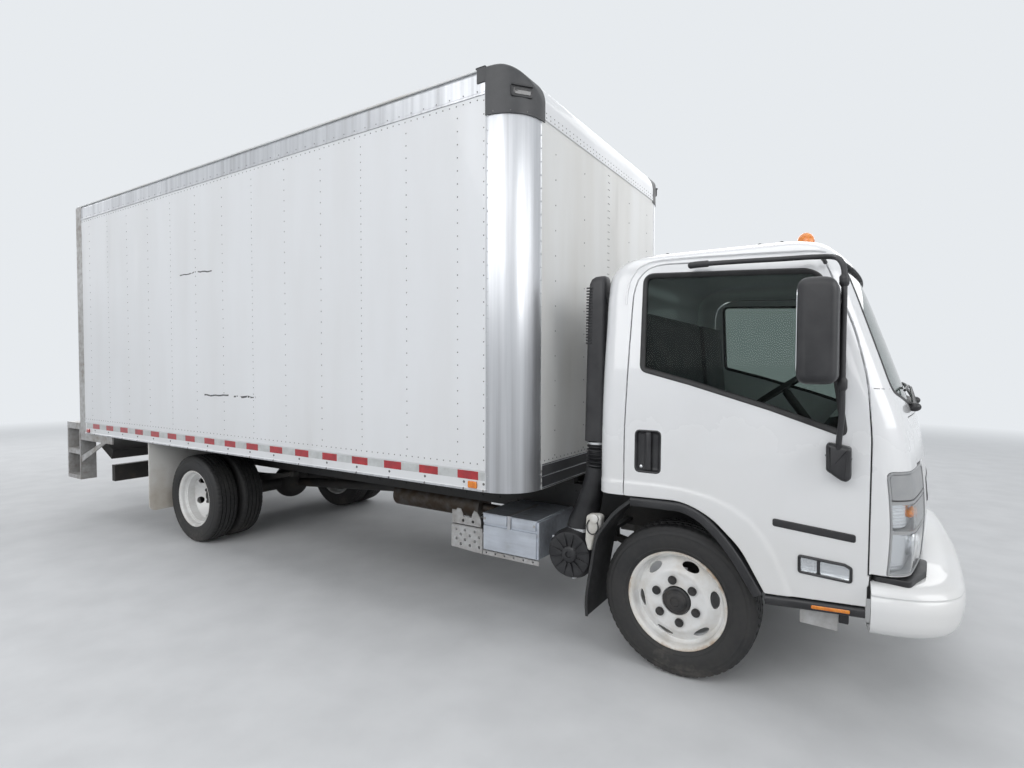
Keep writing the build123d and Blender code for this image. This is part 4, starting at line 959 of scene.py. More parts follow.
# Arch flares and sills: black moulded plastic along the wheel arch and under the door.
# The amber reflector sits in the sill, and the grey block under it is the step's edge.
flare_line = np.array([
    (-0.214, 0.953), (-0.1, 0.956), (0.0, 0.957), (0.055, 0.955), (0.11, 0.94), (0.17, 0.908), (0.23, 0.857),
    (0.29, 0.79), (0.345, 0.713), (0.395, 0.63), (0.432, 0.567),
])
sill_line = np.array([(0.445, 0.5635), (0.6, 0.5735), (0.75, 0.5835), (0.848, 0.59)])
flare_fine = from_side(smooth_curve(np.linspace(0, 1, len(flare_line)), flare_line, np.linspace(0, 1, 70)))
flare = strip(cab_skin, flare_fine, [
    (0.0, 0.045), (0.0, -0.004), (0.003, -0.01), (0.01, -0.013), (0.036, -0.013), (0.044, -0.009),
    (0.047, 0.0), (0.047, 0.06),
], False)
sill = strip(cab_skin, from_side(sill_line), [
    (0.0, 0.06), (0.0, -0.002), (0.004, -0.008), (0.014, -0.011), (0.034, -0.011), (0.042, -0.006),
    (0.044, 0.006), (0.044, 0.07),
], False)
add_piece("flares", both(joined(flare, sill)), black_plastic, "cab", "black_plastic", "arch_flares", angle=50)
sill_corners = [(0.64, 0.546), (0.792, 0.556), (0.792, 0.572), (0.64, 0.562)]
sill_profile = [(-0.003, -0.015), (0.0, -0.013), (0.0, -0.008)]
sill_mark = pad(cab_skin, on_skin(sill_corners, 0.004, step=0.004), sill_profile)
add_piece("sill_reflectors", both(sill_mark), amber, "cab", "lamp_lens")


# Front bumper: one white pressing, bowed in plan, with a groove along it and a shelf on top.
# Its section is carried along the plan curve and closed behind by its own wall. A flat piece's
# outline is laid out from the side, from ahead or from above, with its depth as the third number.
def side_on(points):
    return np.stack([points[:, 0] + front_axle_x, points[:, 2], points[:, 1]], 1)


def smooth_path(points, count):
    """A smooth line through the points, in even steps."""
    points = np.array(points, float)
    knots = lengths_along(points)
    return smooth_curve(knots, points, np.linspace(0, knots[-1], count))


def ahead_on(points):
    return np.stack([points[:, 2] + front_axle_x, points[:, 0], points[:, 1]], 1)


def flat_on(points):
    return np.stack([points[:, 0] + front_axle_x, points[:, 1], points[:, 2]], 1)


bumper_plan = np.array([
    (0.87, -1.044), (0.936, -1.036), (1.02, -1.014), (1.083, -0.983), (1.136, -0.941), (1.186, -0.872),
    (1.213, -0.78), (1.231, -0.6), (1.243, -0.33), (1.249, 0.0),
])
half_plan = smooth_path(bumper_plan, 90)
plan = np.concatenate([half_plan, half_plan[-2::-1] * (1, -1)])
plan_run = np.gradient(plan, axis=0)
plan_run /= np.linalg.norm(plan_run, axis=1)[:, None]
plan_out = np.stack([plan_run[:, 1], -plan_run[:, 0]], 1)
# distance in from the plan curve, the further part of it at the front only, and height
bumper_section = [
    (0.16, 0.0, 0.478), (0.085, 0.0, 0.479), (0.064, 0.0, 0.482), (0.044, 0.0, 0.49), (0.028, 0.0, 0.503),
    (0.014, 0.0, 0.524), (0.005, 0.0, 0.556), (0.0, 0.0, 0.6), (0.0, 0.0, 0.654), (0.0035, 0.0, 0.657),
    (0.005, 0.0, 0.661), (0.0035, 0.002, 0.665), (0.0, 0.003, 0.669), (0.0025, 0.008, 0.684),
    (0.01, 0.016, 0.697), (0.022, 0.024, 0.706), (0.04, 0.03, 0.711), (0.06, 0.032, 0.713),
    (0.16, 0.032, 0.712), (0.16, 0.032, 0.704), (0.05, 0.032, 0.7), (0.026, 0.02, 0.67), (0.022, 0.0, 0.6),
    (0.036, 0.0, 0.53), (0.07, 0.0, 0.492), (0.16, 0.0, 0.486),
]
ahead_share = np.clip(plan_out[:, :1], 0, 1) ** 0.7
bumper_rows = [
    np.column_stack([plan - plan_out * (inset + further * ahead_share), np.full(len(plan), height)])
    for inset, further, height in bumper_section
]
bumper_shape = loop_rings(list(np.array(bumper_rows).transpose(1, 0, 2) + (front_axle_x, 0, 0)), "flat")
add_piece("bumper", bumper_shape, cab_white, "chassis", "white_paint", "front_bumper", angle=50)


def plate(outline, low, high, edge, place, rings=3):
    """A slab: an outline carried from one depth to another, with its edges rounded."""
    angles = np.linspace(0, math.pi / 2, rings + 1)
    near = [(edge * (math.sin(angle) - 1), low + edge * (1 - math.cos(angle))) for angle in angles]
    far = [(distance, low + high - depth) for distance, depth in reversed(near)]
    rows = []
    for distance, depth in near + far:
        ring = grown(outline, distance)[:-1]
        rows.append(place(np.column_stack([ring, np.full(len(ring), depth)])))
    return loop_rings(rows, "flat")


def tube(path, radii, sides=14):
    """A round bar along a path; its radius is one value or one for each point."""
    path = np.array(path, float) + (front_axle_x, 0, 0)
    radii = np.broadcast_to(radii, len(path))
    runs = np.gradient(path, axis=0)
    runs /= np.linalg.norm(runs, axis=1)[:, None]
    side = np.cross(runs[0], (0.31, 0.22, 1.0))
    turns = np.linspace(0, 2 * math.pi, sides, endpoint=False)[:, None]
    rows = []
    for point, run, radius in zip(path, runs, radii):
        side = side - run * side.dot(run)
        side /= np.linalg.norm(side)
        rows.append(point + radius * (np.cos(turns) * side + np.sin(turns) * np.cross(run, side)))
    return loop_rings(rows, "flat")


# Bumper inserts: a black moulding fills the gap between the bumper's shelf and each headlamp.
# It hangs from the cab, and tilts with it.
gap_fill = plate(
    rounded(
        [(0.868, -0.985), (1.01, -0.985), (1.075, -0.8), (1.09, -0.6), (0.96, -0.6), (0.868, -0.7)], 0.03
    ),
    0.705, 0.736, 0.006, flat_on,
)
add_piece("bumper_insert", both(gap_fill), black_plastic, "cab", "black_plastic")

# Mirrors: a moulded head on a bent black tube, which runs from a cover on the door up past the head
# and back over the window to a sleeve. The glass is a bright pane in the head's rear face.
mirror_path = smooth_path([
    (0.737, -1.085, 1.25), (0.742, -1.118, 1.33), (0.751, -1.147, 1.42), (0.752, -1.15, 1.6),
    (0.752, -1.15, 1.8), (0.752, -1.15, 1.99), (0.75, -1.144, 2.055), (0.735, -1.11, 2.095),
    (0.7, -1.045, 2.125), (0.64, -1.006, 2.137), (0.5, -0.999, 2.143), (0.3, -0.992, 2.151),
    (0.1, -0.984, 2.157),
], 90)
mirror_tube = tube(mirror_path, 0.0118)
collar_radii = [0.013, 0.019, 0.019, 0.019, 0.019, 0.013]
sleeve = tube(
    smooth_path([(0.165, -0.984, 2.156), (0.09, -0.977, 2.157), (0.06, -0.972, 2.156)], 14),
    [0.01] + [0.0165] * 12 + [0.011], 18,
)
collars = [
    tube(smooth_path([(0.752, -1.15, low), (0.752, -1.15, high)], 6), collar_radii, 18)
    for low, high in ((1.545, 1.6), (1.98, 2.03))
]
head = plate(
    rounded(box_of(0.592, 0.741, 1.574, 2.008), [0.045, 0.045, 0.06, 0.045], 0.012),
    -1.333, -1.127, 0.034, side_on, 6,
)
cover = plate(
    rounded(
        [(0.692, 1.318), (0.788, 1.302), (0.789, 1.17), (0.772, 1.152), (0.75, 1.158), (0.694, 1.196)], 0.016,
        0.006,
    ),
    -1.114, -1.036, 0.018, side_on, 5,
)
cover_seam = plate(
    rounded([(0.689, 1.262), (0.791, 1.25), (0.791, 1.246), (0.689, 1.258)], 0.001), -1.098, -1.04, 0.001,
    side_on,
)
mirror_glass = plate(rounded(box_of(-1.305, -1.155, 1.62, 1.968), 0.03), 0.59, 0.597, 0.002, ahead_on)
clamp_foot = tube(
    smooth_path([(0.655, -1.006, 2.137), (0.662, -0.975, 2.128), (0.668, -0.948, 2.118)], 8), 0.009
)
silver = Finish("mirror_silver", (0.78, 0.8, 0.81), 0.06, metallic=1.0)
silver.set("Roughness", silver.noise(9, 4).greys((0.4, 0.05), (0.8, 0.14)))
mirror_shape = joined(mirror_tube, sleeve, *collars, head, cover, cover_seam, clamp_foot)
add_pair("mirror_set", mirror_shape, black_plastic, "door", "black_plastic", "mirror", angle=50)
add_pair("mirror_pane", mirror_glass, silver, "door", "bright_aluminium")


# Beacon: an orange ribbed dome on a black foot, on the roof behind the windscreen.
def rounds(profile, centre, axis, sides):
    """Circles about an axis, one for each offset and radius in the profile."""
    axes = {"x": (0, 1, 2), "y": (1, 0, 2), "z": (2, 0, 1)}[axis]
    turns = np.linspace(0, 2 * math.pi, sides, endpoint=False)
    rows = []
    for offset, radius in profile:
        row = np.tile(np.array(centre, float) + (front_axle_x, 0, 0), (sides, 1))
        row[:, axes[0]] += offset
        row[:, axes[1]] += radius * np.cos(turns)
        row[:, axes[2]] += radius * np.sin(turns)
        rows.append(row)
    return rows


def spun(profile, centre, axis="z", sides=32):
    return loop_rings(rounds(profile, centre, axis, sides), "flat")


def hoop(profile, centre, axis="y", sides=96):
    return loop_rings(list(np.array(rounds(profile, centre, axis, sides)).transpose(1, 0, 2)))


beacon_place = (0.525, -0.3, 2.25)
dome = spun([
    (0.03, 0.047), (0.06, 0.047), (0.064, 0.045), (0.068, 0.047), (0.096, 0.046), (0.118, 0.041),
    (0.134, 0.031), (0.144, 0.018), (0.148, 0.004),
], beacon_place, sides=40)
foot = spun([(0.0, 0.051), (0.03, 0.051), (0.036, 0.049), (0.04, 0.044)], beacon_place, sides=40)
add_piece("beacon_dome", dome, amber, "cab", "lamp_lens", "cab_lamps")
add_piece("beacon_foot", foot, black_plastic, "cab", "black_plastic")

# Roof plugs and wipers: black rubber plugs in the roof's spare holes, and two wipers on the windscreen.
skin_around, skin_row = np.meshgrid(
    np.linspace(0, 2 * stretches[5], 400), np.linspace(row_of(1.9), skin_top - 0.01, 160), indexing="ij"
)
skin_grid = cab_skin(np.stack([skin_around.ravel(), skin_row.ravel()], 1), 0.0)


def roof_point(x, y):
    gaps = np.linalg.norm(skin_grid[:, :2] - (x + front_axle_x, y), axis=1)
    gaps[skin_grid[:, 2] < 2.2] = 9
    return skin_grid[gaps.argmin()] - (front_axle_x, 0, 0)


plugs = [spun([(-0.008, 0.012), (0.002, 0.012), (0.006, 0.009), (0.008, 0.004)], roof_point(x, y), sides=16)
         for x in (0.452, 0.349, -0.139, -0.266) for y in (-0.7, 0.7)]
wiper_parts = []
for start_y, end_y in ((-0.62, -0.02), (0.06, 0.66)):
    shares = np.linspace(0, 1, 24)
    blade_line = from_front(
        np.stack([-(start_y + (end_y - start_y) * shares), 1.535 + 0.012 * np.sin(shares * math.pi)], 1)
    )
    wiper_parts.append(tube(cab_skin(blade_line, -0.01) - (front_axle_x, 0, 0), 0.0065, 8))
    arm_line = from_front(
        np.stack([-(start_y + 0.04 + (end_y - start_y - 0.3) * shares), 1.455 + 0.085 * shares], 1)
    )
    arm_path = cab_skin(arm_line, -0.018) - (front_axle_x, 0, 0)
    wiper_parts.append(tube(arm_path, np.linspace(0.012, 0.006, 24), 8))
    wiper_parts.append(ball(arm_path[0] + (front_axle_x, 0, 0), (0.028, 0.028, 0.022)))
add_piece("roof_plugs", joined(*plugs), rubber, "cab", "black_plastic")
add_piece("wipers", joined(*wiper_parts), black_plastic, "cab", "black_plastic")

# Snorkel: a black moulded air intake up the back of the cab, with louvres near its top.
# A ribbed bellows under it lets the cab tilt, and a fat duct leads down to the air cleaner.
snorkel_y = -0.85
snorkel_rows = []
for height, middle, length, width, corner in (
    (1.212, -0.4885, 0.115, 0.108, 0.028), (1.216, -0.4885, 0.125, 0.118, 0.03),
    (1.6, -0.484, 0.116, 0.12, 0.03), (2.0, -0.479, 0.106, 0.12, 0.03), (2.115, -0.476, 0.1, 0.118, 0.032),
    (2.143, -0.472, 0.088, 0.106, 0.034), (2.156, -0.465, 0.066, 0.084, 0.03),
    (2.16, -0.458, 0.04, 0.05, 0.015),
):
    half_length, half_width = length / 2, width / 2
    plan_box = box_of(
        middle - half_length, middle + half_length, snorkel_y - half_width, snorkel_y + half_width
    )
    ring = rounded(plan_box, min(corner, 0.45 * width))
    share = np.linspace(0, len(ring) - 1, 64, endpoint=False)
    spread = np.stack([np.interp(share, np.arange(len(ring)), ring[:, axis]) for axis in (0, 1)], 1)
    snorkel_rows.append(flat_on(np.column_stack([spread, np.full(64, height)])))
snorkel_parts = [loop_rings(snorkel_rows, "flat")]
for count in range(20):
    height = 1.775 + count * 0.0165
    middle = np.interp(height, [1.211, 2.0], [-0.488, -0.479])
    slat = rounded(box_of(middle - 0.057, middle - 0.018, height, height + 0.008), 0.003, 0.004)
    snorkel_parts.append(plate(slat, -0.914, -0.9, 0.002, side_on, 1))
for height, reach in ((1.4, -0.4), (2.0, -0.398)):
    bracket = rounded(box_of(-0.46, reach, height, height + 0.03), 0.004)
    snorkel_parts.append(plate(bracket, -0.87, -0.83, 0.003, side_on, 1))
add_piece(
    "snorkel", joined(*snorkel_parts), black_plastic, "cab", "black_plastic", "intake_snorkel", angle=40
)
duct_path = smooth_path([
    (-0.488, -0.85, 1.209), (-0.492, -0.848, 1.13), (-0.503, -0.84, 1.03), (-0.53, -0.818, 0.93),
    (-0.565, -0.79, 0.83), (-0.6, -0.772, 0.745), (-0.622, -0.764, 0.69), (-0.63, -0.761, 0.64),
], 150)
duct_length = np.linspace(0, 1, 150)
duct_radius = np.interp(
    duct_length, [0, 0.2, 0.45, 0.8, 0.93, 1.0], [0.054, 0.054, 0.062, 0.08, 0.088, 0.088]
)
bellows = (duct_length > 0.03) & (duct_length < 0.24)
duct_radius = duct_radius + np.where(bellows, 0.008 * np.sin(duct_length * 2 * math.pi / 0.035), 0)
clamps = joined(
    hoop(
        [(-0.009, 0.0905), (-0.009, 0.0945), (0.009, 0.0945), (0.009, 0.0905)], (-0.6235, -0.7635, 0.668),
        "z", 40,
    ),
    hoop([(-0.006, 0.056), (-0.006, 0.06), (0.006, 0.06), (0.006, 0.056)], (-0.4885, -0.85, 1.203), "z", 40),
)
drum_place = (-0.651, -0.6, 0.526)
drum = spun([
    (0.0, 0.12), (-0.004, 0.14), (-0.012, 0.148), (-0.1, 0.148), (-0.104, 0.1495), (-0.118, 0.1495),
    (-0.122, 0.148), (-0.225, 0.148), (-0.228, 0.1497), (-0.252, 0.1497), (-0.262, 0.146), (-0.27, 0.141),
    (-0.282, 0.138), (-0.29, 0.132), (-0.293, 0.118), (-0.29, 0.1), (-0.286, 0.07), (-0.286, 0.052),
    (-0.293, 0.046), (-0.297, 0.036), (-0.297, 0.02), (-0.29, 0.016), (-0.29, 0.004),
], drum_place, "y", 64)
drum_ribs = []
for count in range(12):
    angle = math.radians(15 + 30 * count)
    along = np.array([math.cos(angle), math.sin(angle)])
    across = np.array([-math.sin(angle), math.cos(angle)])
    middle = np.array([drum_place[0], drum_place[2]])
    corners = [
        middle + along * reach + across * half
        for reach, half in ((0.045, -0.003), (0.134, -0.0035), (0.134, 0.0035), (0.045, 0.003))
    ]
    drum_ribs.append(plate(rounded(corners, 0.001, 0.02), -0.8965, -0.882, 0.0015, side_on, 1))
drum_foot = plate(rounded(box_of(-0.711, -0.591, 0.636, 0.661), 0.003), -0.61, -0.425, 0.002, side_on, 1)
add_piece(
    "air_cleaner_skin", joined(tube(duct_path, duct_radius, 40), drum, drum_foot, *drum_ribs), black_plastic,
    "chassis", "black_plastic", "air_cleaner", angle=40,
)
latches = [
    plate(
        rounded([(x, z), (x + 0.03, z + 0.01), (x + 0.026, z + 0.024), (x - 0.004, z + 0.014)], 0.002),
        -0.866, -0.838, 0.003, side_on, 2,
    )
    for x, z in ((-0.56, 0.618), (-0.775, 0.6), (-0.64, 0.374))
]
add_piece("duct_clamps", joined(clamps, *latches), steel, "chassis", "bright_aluminium")

# Washer bottle: white translucent plastic, with a round cap and a black hose looped over it.
bottle_white = Finish("bottle_white", (0.72, 0.71, 0.68), 0.45)
bottle_white.worn(bottle_white.noise(14, 5), ((0.3, (0.74, 0.73, 0.7)), (0.8, (0.52, 0.49, 0.42))))
# x, z of each corner of the bottle seen from the side, and the radius that rounds it
bottle_corners = [
    (-0.512, 0.655, 0.03), (-0.496, 0.602, 0.015), (-0.474, 0.598, 0.015), (-0.456, 0.68, 0.04),
    (-0.418, 0.745, 0.03), (-0.41, 0.802, 0.02), (-0.44, 0.812, 0.03), (-0.506, 0.804, 0.03),
]
bottle = plate(with_radii(bottle_corners, 0.008), -0.965, -0.909, 0.012, side_on, 4)
bottle_cap = spun(
    [(0.0, 0.012), (-0.006, 0.023), (-0.012, 0.026), (-0.026, 0.026), (-0.029, 0.022), (-0.0292, 0.004)],
    (-0.452, -0.955, 0.79), "y", 28,
)
hose_turns = np.linspace(-0.4, 1.9 * math.pi, 40)
hose = tube(
    np.stack(
        [
            -0.462 + 0.034 * np.cos(hose_turns), -0.972 + 0.005 * np.sin(hose_turns),
            0.742 + 0.042 * np.sin(hose_turns),
        ],
        1,
    ),
    0.0036, 8,
)
bottle_foot = plate(rounded(box_of(-0.47, -0.4455, 0.64, 0.655), 0.002), -0.95, -0.92, 0.002, side_on, 1)
add_piece(
    "bottle", joined(bottle, bottle_cap, bottle_foot), bottle_white, "chassis", "white_plastic",
    "washer_bottle", angle=50,
)
add_piece("bottle_hose", hose, rubber, "chassis", "black_plastic")

# Mudguards: black moulded guards behind the front wheels, with a rubber flap along the bottom.
guard_line = np.array([
    (-0.482, 0.24), (-0.486, 0.33), (-0.474, 0.43), (-0.452, 0.56), (-0.428, 0.69), (-0.38, 0.77),
    (-0.32, 0.85), (-0.231, 0.928),
])
guard_fine = smooth_curve(np.linspace(0, 1, len(guard_line)), guard_line, np.linspace(0, 1, 40))
guard_run = np.gradient(guard_fine, axis=0)
guard_run /= np.linalg.norm(guard_run, axis=1)[:, None]
guard_side = np.stack([guard_run[:, 1], -guard_run[:, 0]], 1)
# distance from the guard's line and distance from the truck's centre line
guard_section = [
    (-0.006, 0.702), (0.004, 0.702), (0.005, 0.8), (0.005, 0.995), (0.012, 1.004), (0.012, 1.009),
    (-0.004, 1.009), (-0.006, 0.999),
]
guard_rows = [
    side_on(np.array([(*(point + side * shift), -across) for shift, across in guard_section]))
    for point, side in zip(guard_fine, guard_side)
]
guard_bracket = plate(rounded(box_of(-0.473, -0.429, 0.66, 0.684), 0.003), -0.705, -0.425, 0.002, side_on, 1)
guard = joined(loop_rings(guard_rows, "flat"), guard_bracket)
add_piece("mudguards", both(guard), rubber, "chassis", "black_plastic", "front_mudguards", angle=50)


# Wheels: steel discs pressed and welded into rolled rims, painted white, six nuts each.
# The rear ones are deep dished twins, bolted back to back. The lips are scuffed and rusty.
wheel_z, front_wheel_y, rear_wheel_y, twin_middle_y, rear_x = 0.4055, 0.833, 0.953, 0.8255, -4.47
wheel_wall = 0.006
arc_scale = 0.2
lip = [
    (0.2622, 0.0925), (0.2622, 0.0965), (0.26, 0.0985), (0.255, 0.098), (0.25, 0.095), (0.244, 0.089),
    (0.24, 0.082), (0.2385, 0.07), (0.2375, 0.054),
]
front_section = lip + [
    (0.232, 0.045), (0.227, 0.038), (0.223, 0.035), (0.218, 0.0385), (0.176, 0.0755), (0.169, 0.0815),
    (0.162, 0.086), (0.156, 0.088), (0.148, 0.0882), (0.142, 0.0865), (0.135, 0.0862), (0.079, 0.0862),
    (0.0765, 0.085), (0.0755, 0.08),
]
rear_section = lip + [
    (0.233, 0.047), (0.23, 0.044), (0.229, 0.038), (0.2285, -0.002), (0.227, -0.006), (0.2235, -0.008),
    (0.2228, -0.012), (0.2222, -0.03), (0.219, -0.037), (0.168, -0.104), (0.16, -0.111), (0.152, -0.116),
    (0.144, -0.117), (0.08, -0.117), (0.0765, -0.116), (0.0755, -0.112),
]


def wheel_disc(section, x, y, hole_long, hole_high, hole_radius, hole_start, sides):
    """The pressed disc and rim of a wheel: its section, (radius, distance out), carried round the axle."""
    section = np.array(section)
    knots = lengths_along(section)
    fine = np.linspace(0, knots[-1], 400)
    line = np.stack([np.interp(fine, knots, section[:, column]) for column in (0, 1)], 1)
    soft = np.pad(line, ((4, 4), (0, 0)), mode="edge")
    line = np.mean([soft[shift:shift + 400] for shift in range(9)], axis=0)
    run = np.gradient(line, axis=0)
    run /= np.linalg.norm(run, axis=1)[:, None]

    def surface(places, depth):
        radius, out, run_radius, run_out = (
            np.interp(places[:, 1], fine, column) for column in (line[:, 0], line[:, 1], run[:, 0], run[:, 1])
        )
        radius, out = radius - run_out * depth, out + run_radius * depth
        turn = places[:, 0] / arc_scale
        return np.stack(
            [front_axle_x + x + radius * np.cos(turn), -(y + out), wheel_z + radius * np.sin(turn)], 1
        )

    start = math.radians(hole_start - 30) * arc_scale
    columns = np.linspace(start, start + 2 * math.pi * arc_scale, sides + 1)
    hole_place = fine[np.argmin(np.abs(line[:, 0] - hole_radius))]
    rows = np.unique(np.concatenate([
        np.linspace(0, hole_place - 1.5 * hole_high, 24),
        np.linspace(hole_place - 1.5 * hole_high, hole_place + 1.5 * hole_high, 14),
        np.linspace(hole_place + 1.5 * hole_high, knots[-1], 16),
    ]))
    turns = np.linspace(0, 2 * math.pi, 49)
    holes = []
    for count in range(6):
        middle = math.radians(hole_start + 60 * count) * arc_scale
        holes.append(np.stack([
            middle + hole_long * arc_scale / hole_radius * np.cos(turns),
            hole_place + hole_high * np.sin(turns),
        ], 1))
    return trimmed_sheet(
        surface, columns, rows, [], holes, wheel_wall, 0.0015, seams=((0, columns[0]), (0, columns[-1])),
    )


def rim_back(x, y, sides):
    section = [
        (0.036, 0.229), (-0.042, 0.229), (-0.064, 0.2475), (-0.086, 0.2475), (-0.093, 0.2615),
        (-0.098, 0.2615), (-0.095, 0.25), (-0.084, 0.2395), (-0.055, 0.2375), (-0.04, 0.2215),
        (0.036, 0.2215),
    ]
    return hoop([(-offset, radius) for offset, radius in section], (x, -y, wheel_z), "y", sides)


def wheel_paint(name, x, lip_dirt):
    made = Finish(name, (0.8, 0.8, 0.79), 0.35, coat=0.4)
    across, up = made.x - (front_axle_x + x), made.z - wheel_z
    spread = across * across + up * up
    near_lip = spread.step(0.054, 0.066)
    grime = made.noise(9.0, 6.0, (1, 0.4, 1)) * 0.55 + near_lip * 0.17 + made.noise(45.0, 4.0) * 0.2
    dirty = (
        (0.34, (0.8, 0.8, 0.79)), (0.52, (0.68, 0.65, 0.6)), (0.66, (0.42, 0.3, 0.2)),
        (0.8, (0.12, 0.07, 0.05)),
    )
    clean = ((0.36, (0.8, 0.8, 0.79)), (0.6, (0.62, 0.6, 0.57)), (0.85, (0.3, 0.27, 0.24)))
    made.worn(grime, dirty if lip_dirt else clean, ((0.3, 0.28), (0.7, 0.72)))
    return made


front_disc = wheel_disc(front_section, 0, front_wheel_y, 0.046, 0.027, 0.197, 10, 180)
front_wheel = joined(front_disc, rim_back(0, front_wheel_y, 96))


def rear_wheel(sides, back_sides):
    disc = wheel_disc(rear_section, rear_x, rear_wheel_y, 0.032, 0.032, 0.194, 20, sides)
    return joined(disc, rim_back(rear_x, rear_wheel_y, back_sides))


rear_points, rear_faces = rear_wheel(96, 72)
rear_inner = (
    rear_points * (1, -1, 1) - (0, 2 * twin_middle_y, 0), [tuple(reversed(face)) for face in rear_faces],
)
black_iron = Finish("black_iron", (0.03, 0.03, 0.032), 0.6)
iron_wear = black_iron.noise(16, 6)
black_iron.worn(
    iron_wear, ((0.35, (0.018, 0.018, 0.019)), (0.62, (0.045, 0.042, 0.04)), (0.85, (0.11, 0.075, 0.055))),
    ((0.3, 0.45), (0.8, 0.8)),
)
black_iron.bump(black_iron.noise(60, 4), 0.0008)
front_hub = spun([(-offset, radius) for offset, radius in [
    (-0.036, 0.02), (-0.036, 0.072), (0.078, 0.072), (0.09, 0.071), (0.093, 0.066), (0.093, 0.06),
    (0.1, 0.056), (0.104, 0.05), (0.11, 0.046), (0.112, 0.04), (0.112, 0.026), (0.107, 0.023), (0.107, 0.004),
]], (0, -front_wheel_y, wheel_z), "y", 48)
rear_hub = spun([(-offset, radius) for offset, radius in [
    (-0.14, 0.06), (-0.14, 0.185), (-0.135, 0.19), (-0.128, 0.19), (-0.126, 0.186), (-0.126, 0.072),
    (0.066, 0.072), (0.072, 0.069), (0.074, 0.06), (0.08, 0.057), (0.084, 0.05), (0.084, 0.034),
    (0.079, 0.03), (0.079, 0.004),
]], (rear_x, -twin_middle_y, wheel_z), "y", 48)


# Bolts, nuts and rivets: one repeated head on each marked point, turned to face the way the point says.
# The tree is made once; its inputs are the head's radius, height and number of sides, and its finish.
def head_tree():
    tree = bpy.data.node_groups.new("heads", "GeometryNodeTree")
    sockets = (
        ("Geometry", "Geometry"), ("Radius", "Float"), ("Height", "Float"), ("Washer", "Float"),
        ("Sides", "Int"), ("Dome", "Bool"), ("Finish", "Material"),
    )
    for name, kind in sockets:
        tree.interface.new_socket(name, in_out="INPUT", socket_type="NodeSocket" + kind)
    tree.interface.new_socket("Geometry", in_out="OUTPUT", socket_type="NodeSocketGeometry")
    given = {socket.name: Value(tree, socket) for socket in tree.nodes.new("NodeGroupInput").outputs}
    points, radius, height, sides = (given[name] for name in ("Geometry", "Radius", "Height", "Sides"))
    make = points.node
    prism = make("GeometryNodeMeshCylinder", {}, {"Vertices": sides, "Radius": radius, "Depth": height})
    washer_sizes = {"Vertices": 16, "Radius": given["Washer"], "Depth": height * 0.3}
    nut = make("GeometryNodeJoinGeometry", {}, {0: prism})
    tree.links.new(make("GeometryNodeMeshCylinder", {}, washer_sizes).socket, nut.socket.node.inputs[0])
    ball_head = make("GeometryNodeMeshUVSphere", {}, {"Segments": sides, "Rings": 5, "Radius": radius})
    dome = make("GeometryNodeTransform", {}, {"Geometry": ball_head, "Scale": (1, 1, 0.5)})
    choice = {"Switch": given["Dome"], "False": nut, "True": dome}
    head = make("GeometryNodeSwitch", {"input_type": "GEOMETRY"}, choice)
    facing = make("GeometryNodeInputNamedAttribute", {"data_type": "FLOAT_VECTOR"}, {"Name": "facing"})
    turn = make("FunctionNodeAlignRotationToVector", {"axis": "Z"}, {"Vector": facing})
    put = make("GeometryNodeInstanceOnPoints", {}, {"Points": points, "Instance": head, "Rotation": turn})
    real = make("GeometryNodeRealizeInstances", {}, {0: put})
    dressed_heads = make("GeometryNodeSetMaterial", {}, {"Geometry": real, "Material": given["Finish"]})
    tree.links.new(dressed_heads.socket, tree.nodes.new("NodeGroupOutput").inputs[0])
    return tree


heads = head_tree()
inputs = {item.name: item.identifier for item in heads.interface.items_tree if item.in_out == "INPUT"}


def add_heads(
    name, places, facing, radius, height, finish, body, washer=0.0, sides=6, dome=False, twin=False
):
    """Heads on the marked places; twin heads are repeated on the truck's other side."""
    places = np.array(places, float)
    facings = np.broadcast_to(np.array(facing, float), places.shape)
    if twin:
        places, facings = (np.concatenate([rows, rows * (1, -1, 1)]) for rows in (places, facings))
    points = bpy.data.meshes.new(name)
    points.from_pydata((places + (front_axle_x, 0, 0)).tolist(), [], [])
    way = points.attributes.new("facing", "FLOAT_VECTOR", "POINT")
    way.data.foreach_set("vector", facings.astype(np.float32).ravel())
    made = bpy.data.objects.new(name, points)
    bpy.context.collection.objects.link(made)
    modifier = made.modifiers.new("heads", "NODES")
    modifier.node_group = heads
    values = {
        "Radius": radius, "Height": height, "Washer": washer or radius, "Sides": sides, "Dome": dome,
        "Finish": finish.material,
    }
    for key, value in values.items():
        modifier[inputs[key]] = value
    depsgraph = bpy.context.evaluated_depsgraph_get()
    mesh = bpy.data.meshes.new_from_object(made.evaluated_get(depsgraph))
    made.modifiers.remove(modifier)
    made.data = mesh
    mesh.name = name
    if dome:
        mesh.shade_smooth()
    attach(made, body)


front_paint = wheel_paint("front_wheel_paint", 0, True)
rear_paint = wheel_paint("rear_wheel_paint", rear_x, False)
rear_twins = joined(rear_wheel(180, 96), rear_inner)
add_pair("front_rim", front_wheel, front_paint, "front_wheel", "wheel_white", "front_wheel", angle=40)
add_pair("front_hub", front_hub, black_iron, "front_wheel", "cast_iron")
add_pair("rear_rims", rear_twins, rear_paint, "rear_wheel", "wheel_white", "rear_wheels", angle=40)
add_pair("rear_hub", rear_hub, black_iron, "rear_wheel", "cast_iron")
bolt_circle = 0.111
nut_turns = np.radians(40 + 60 * np.arange(6))
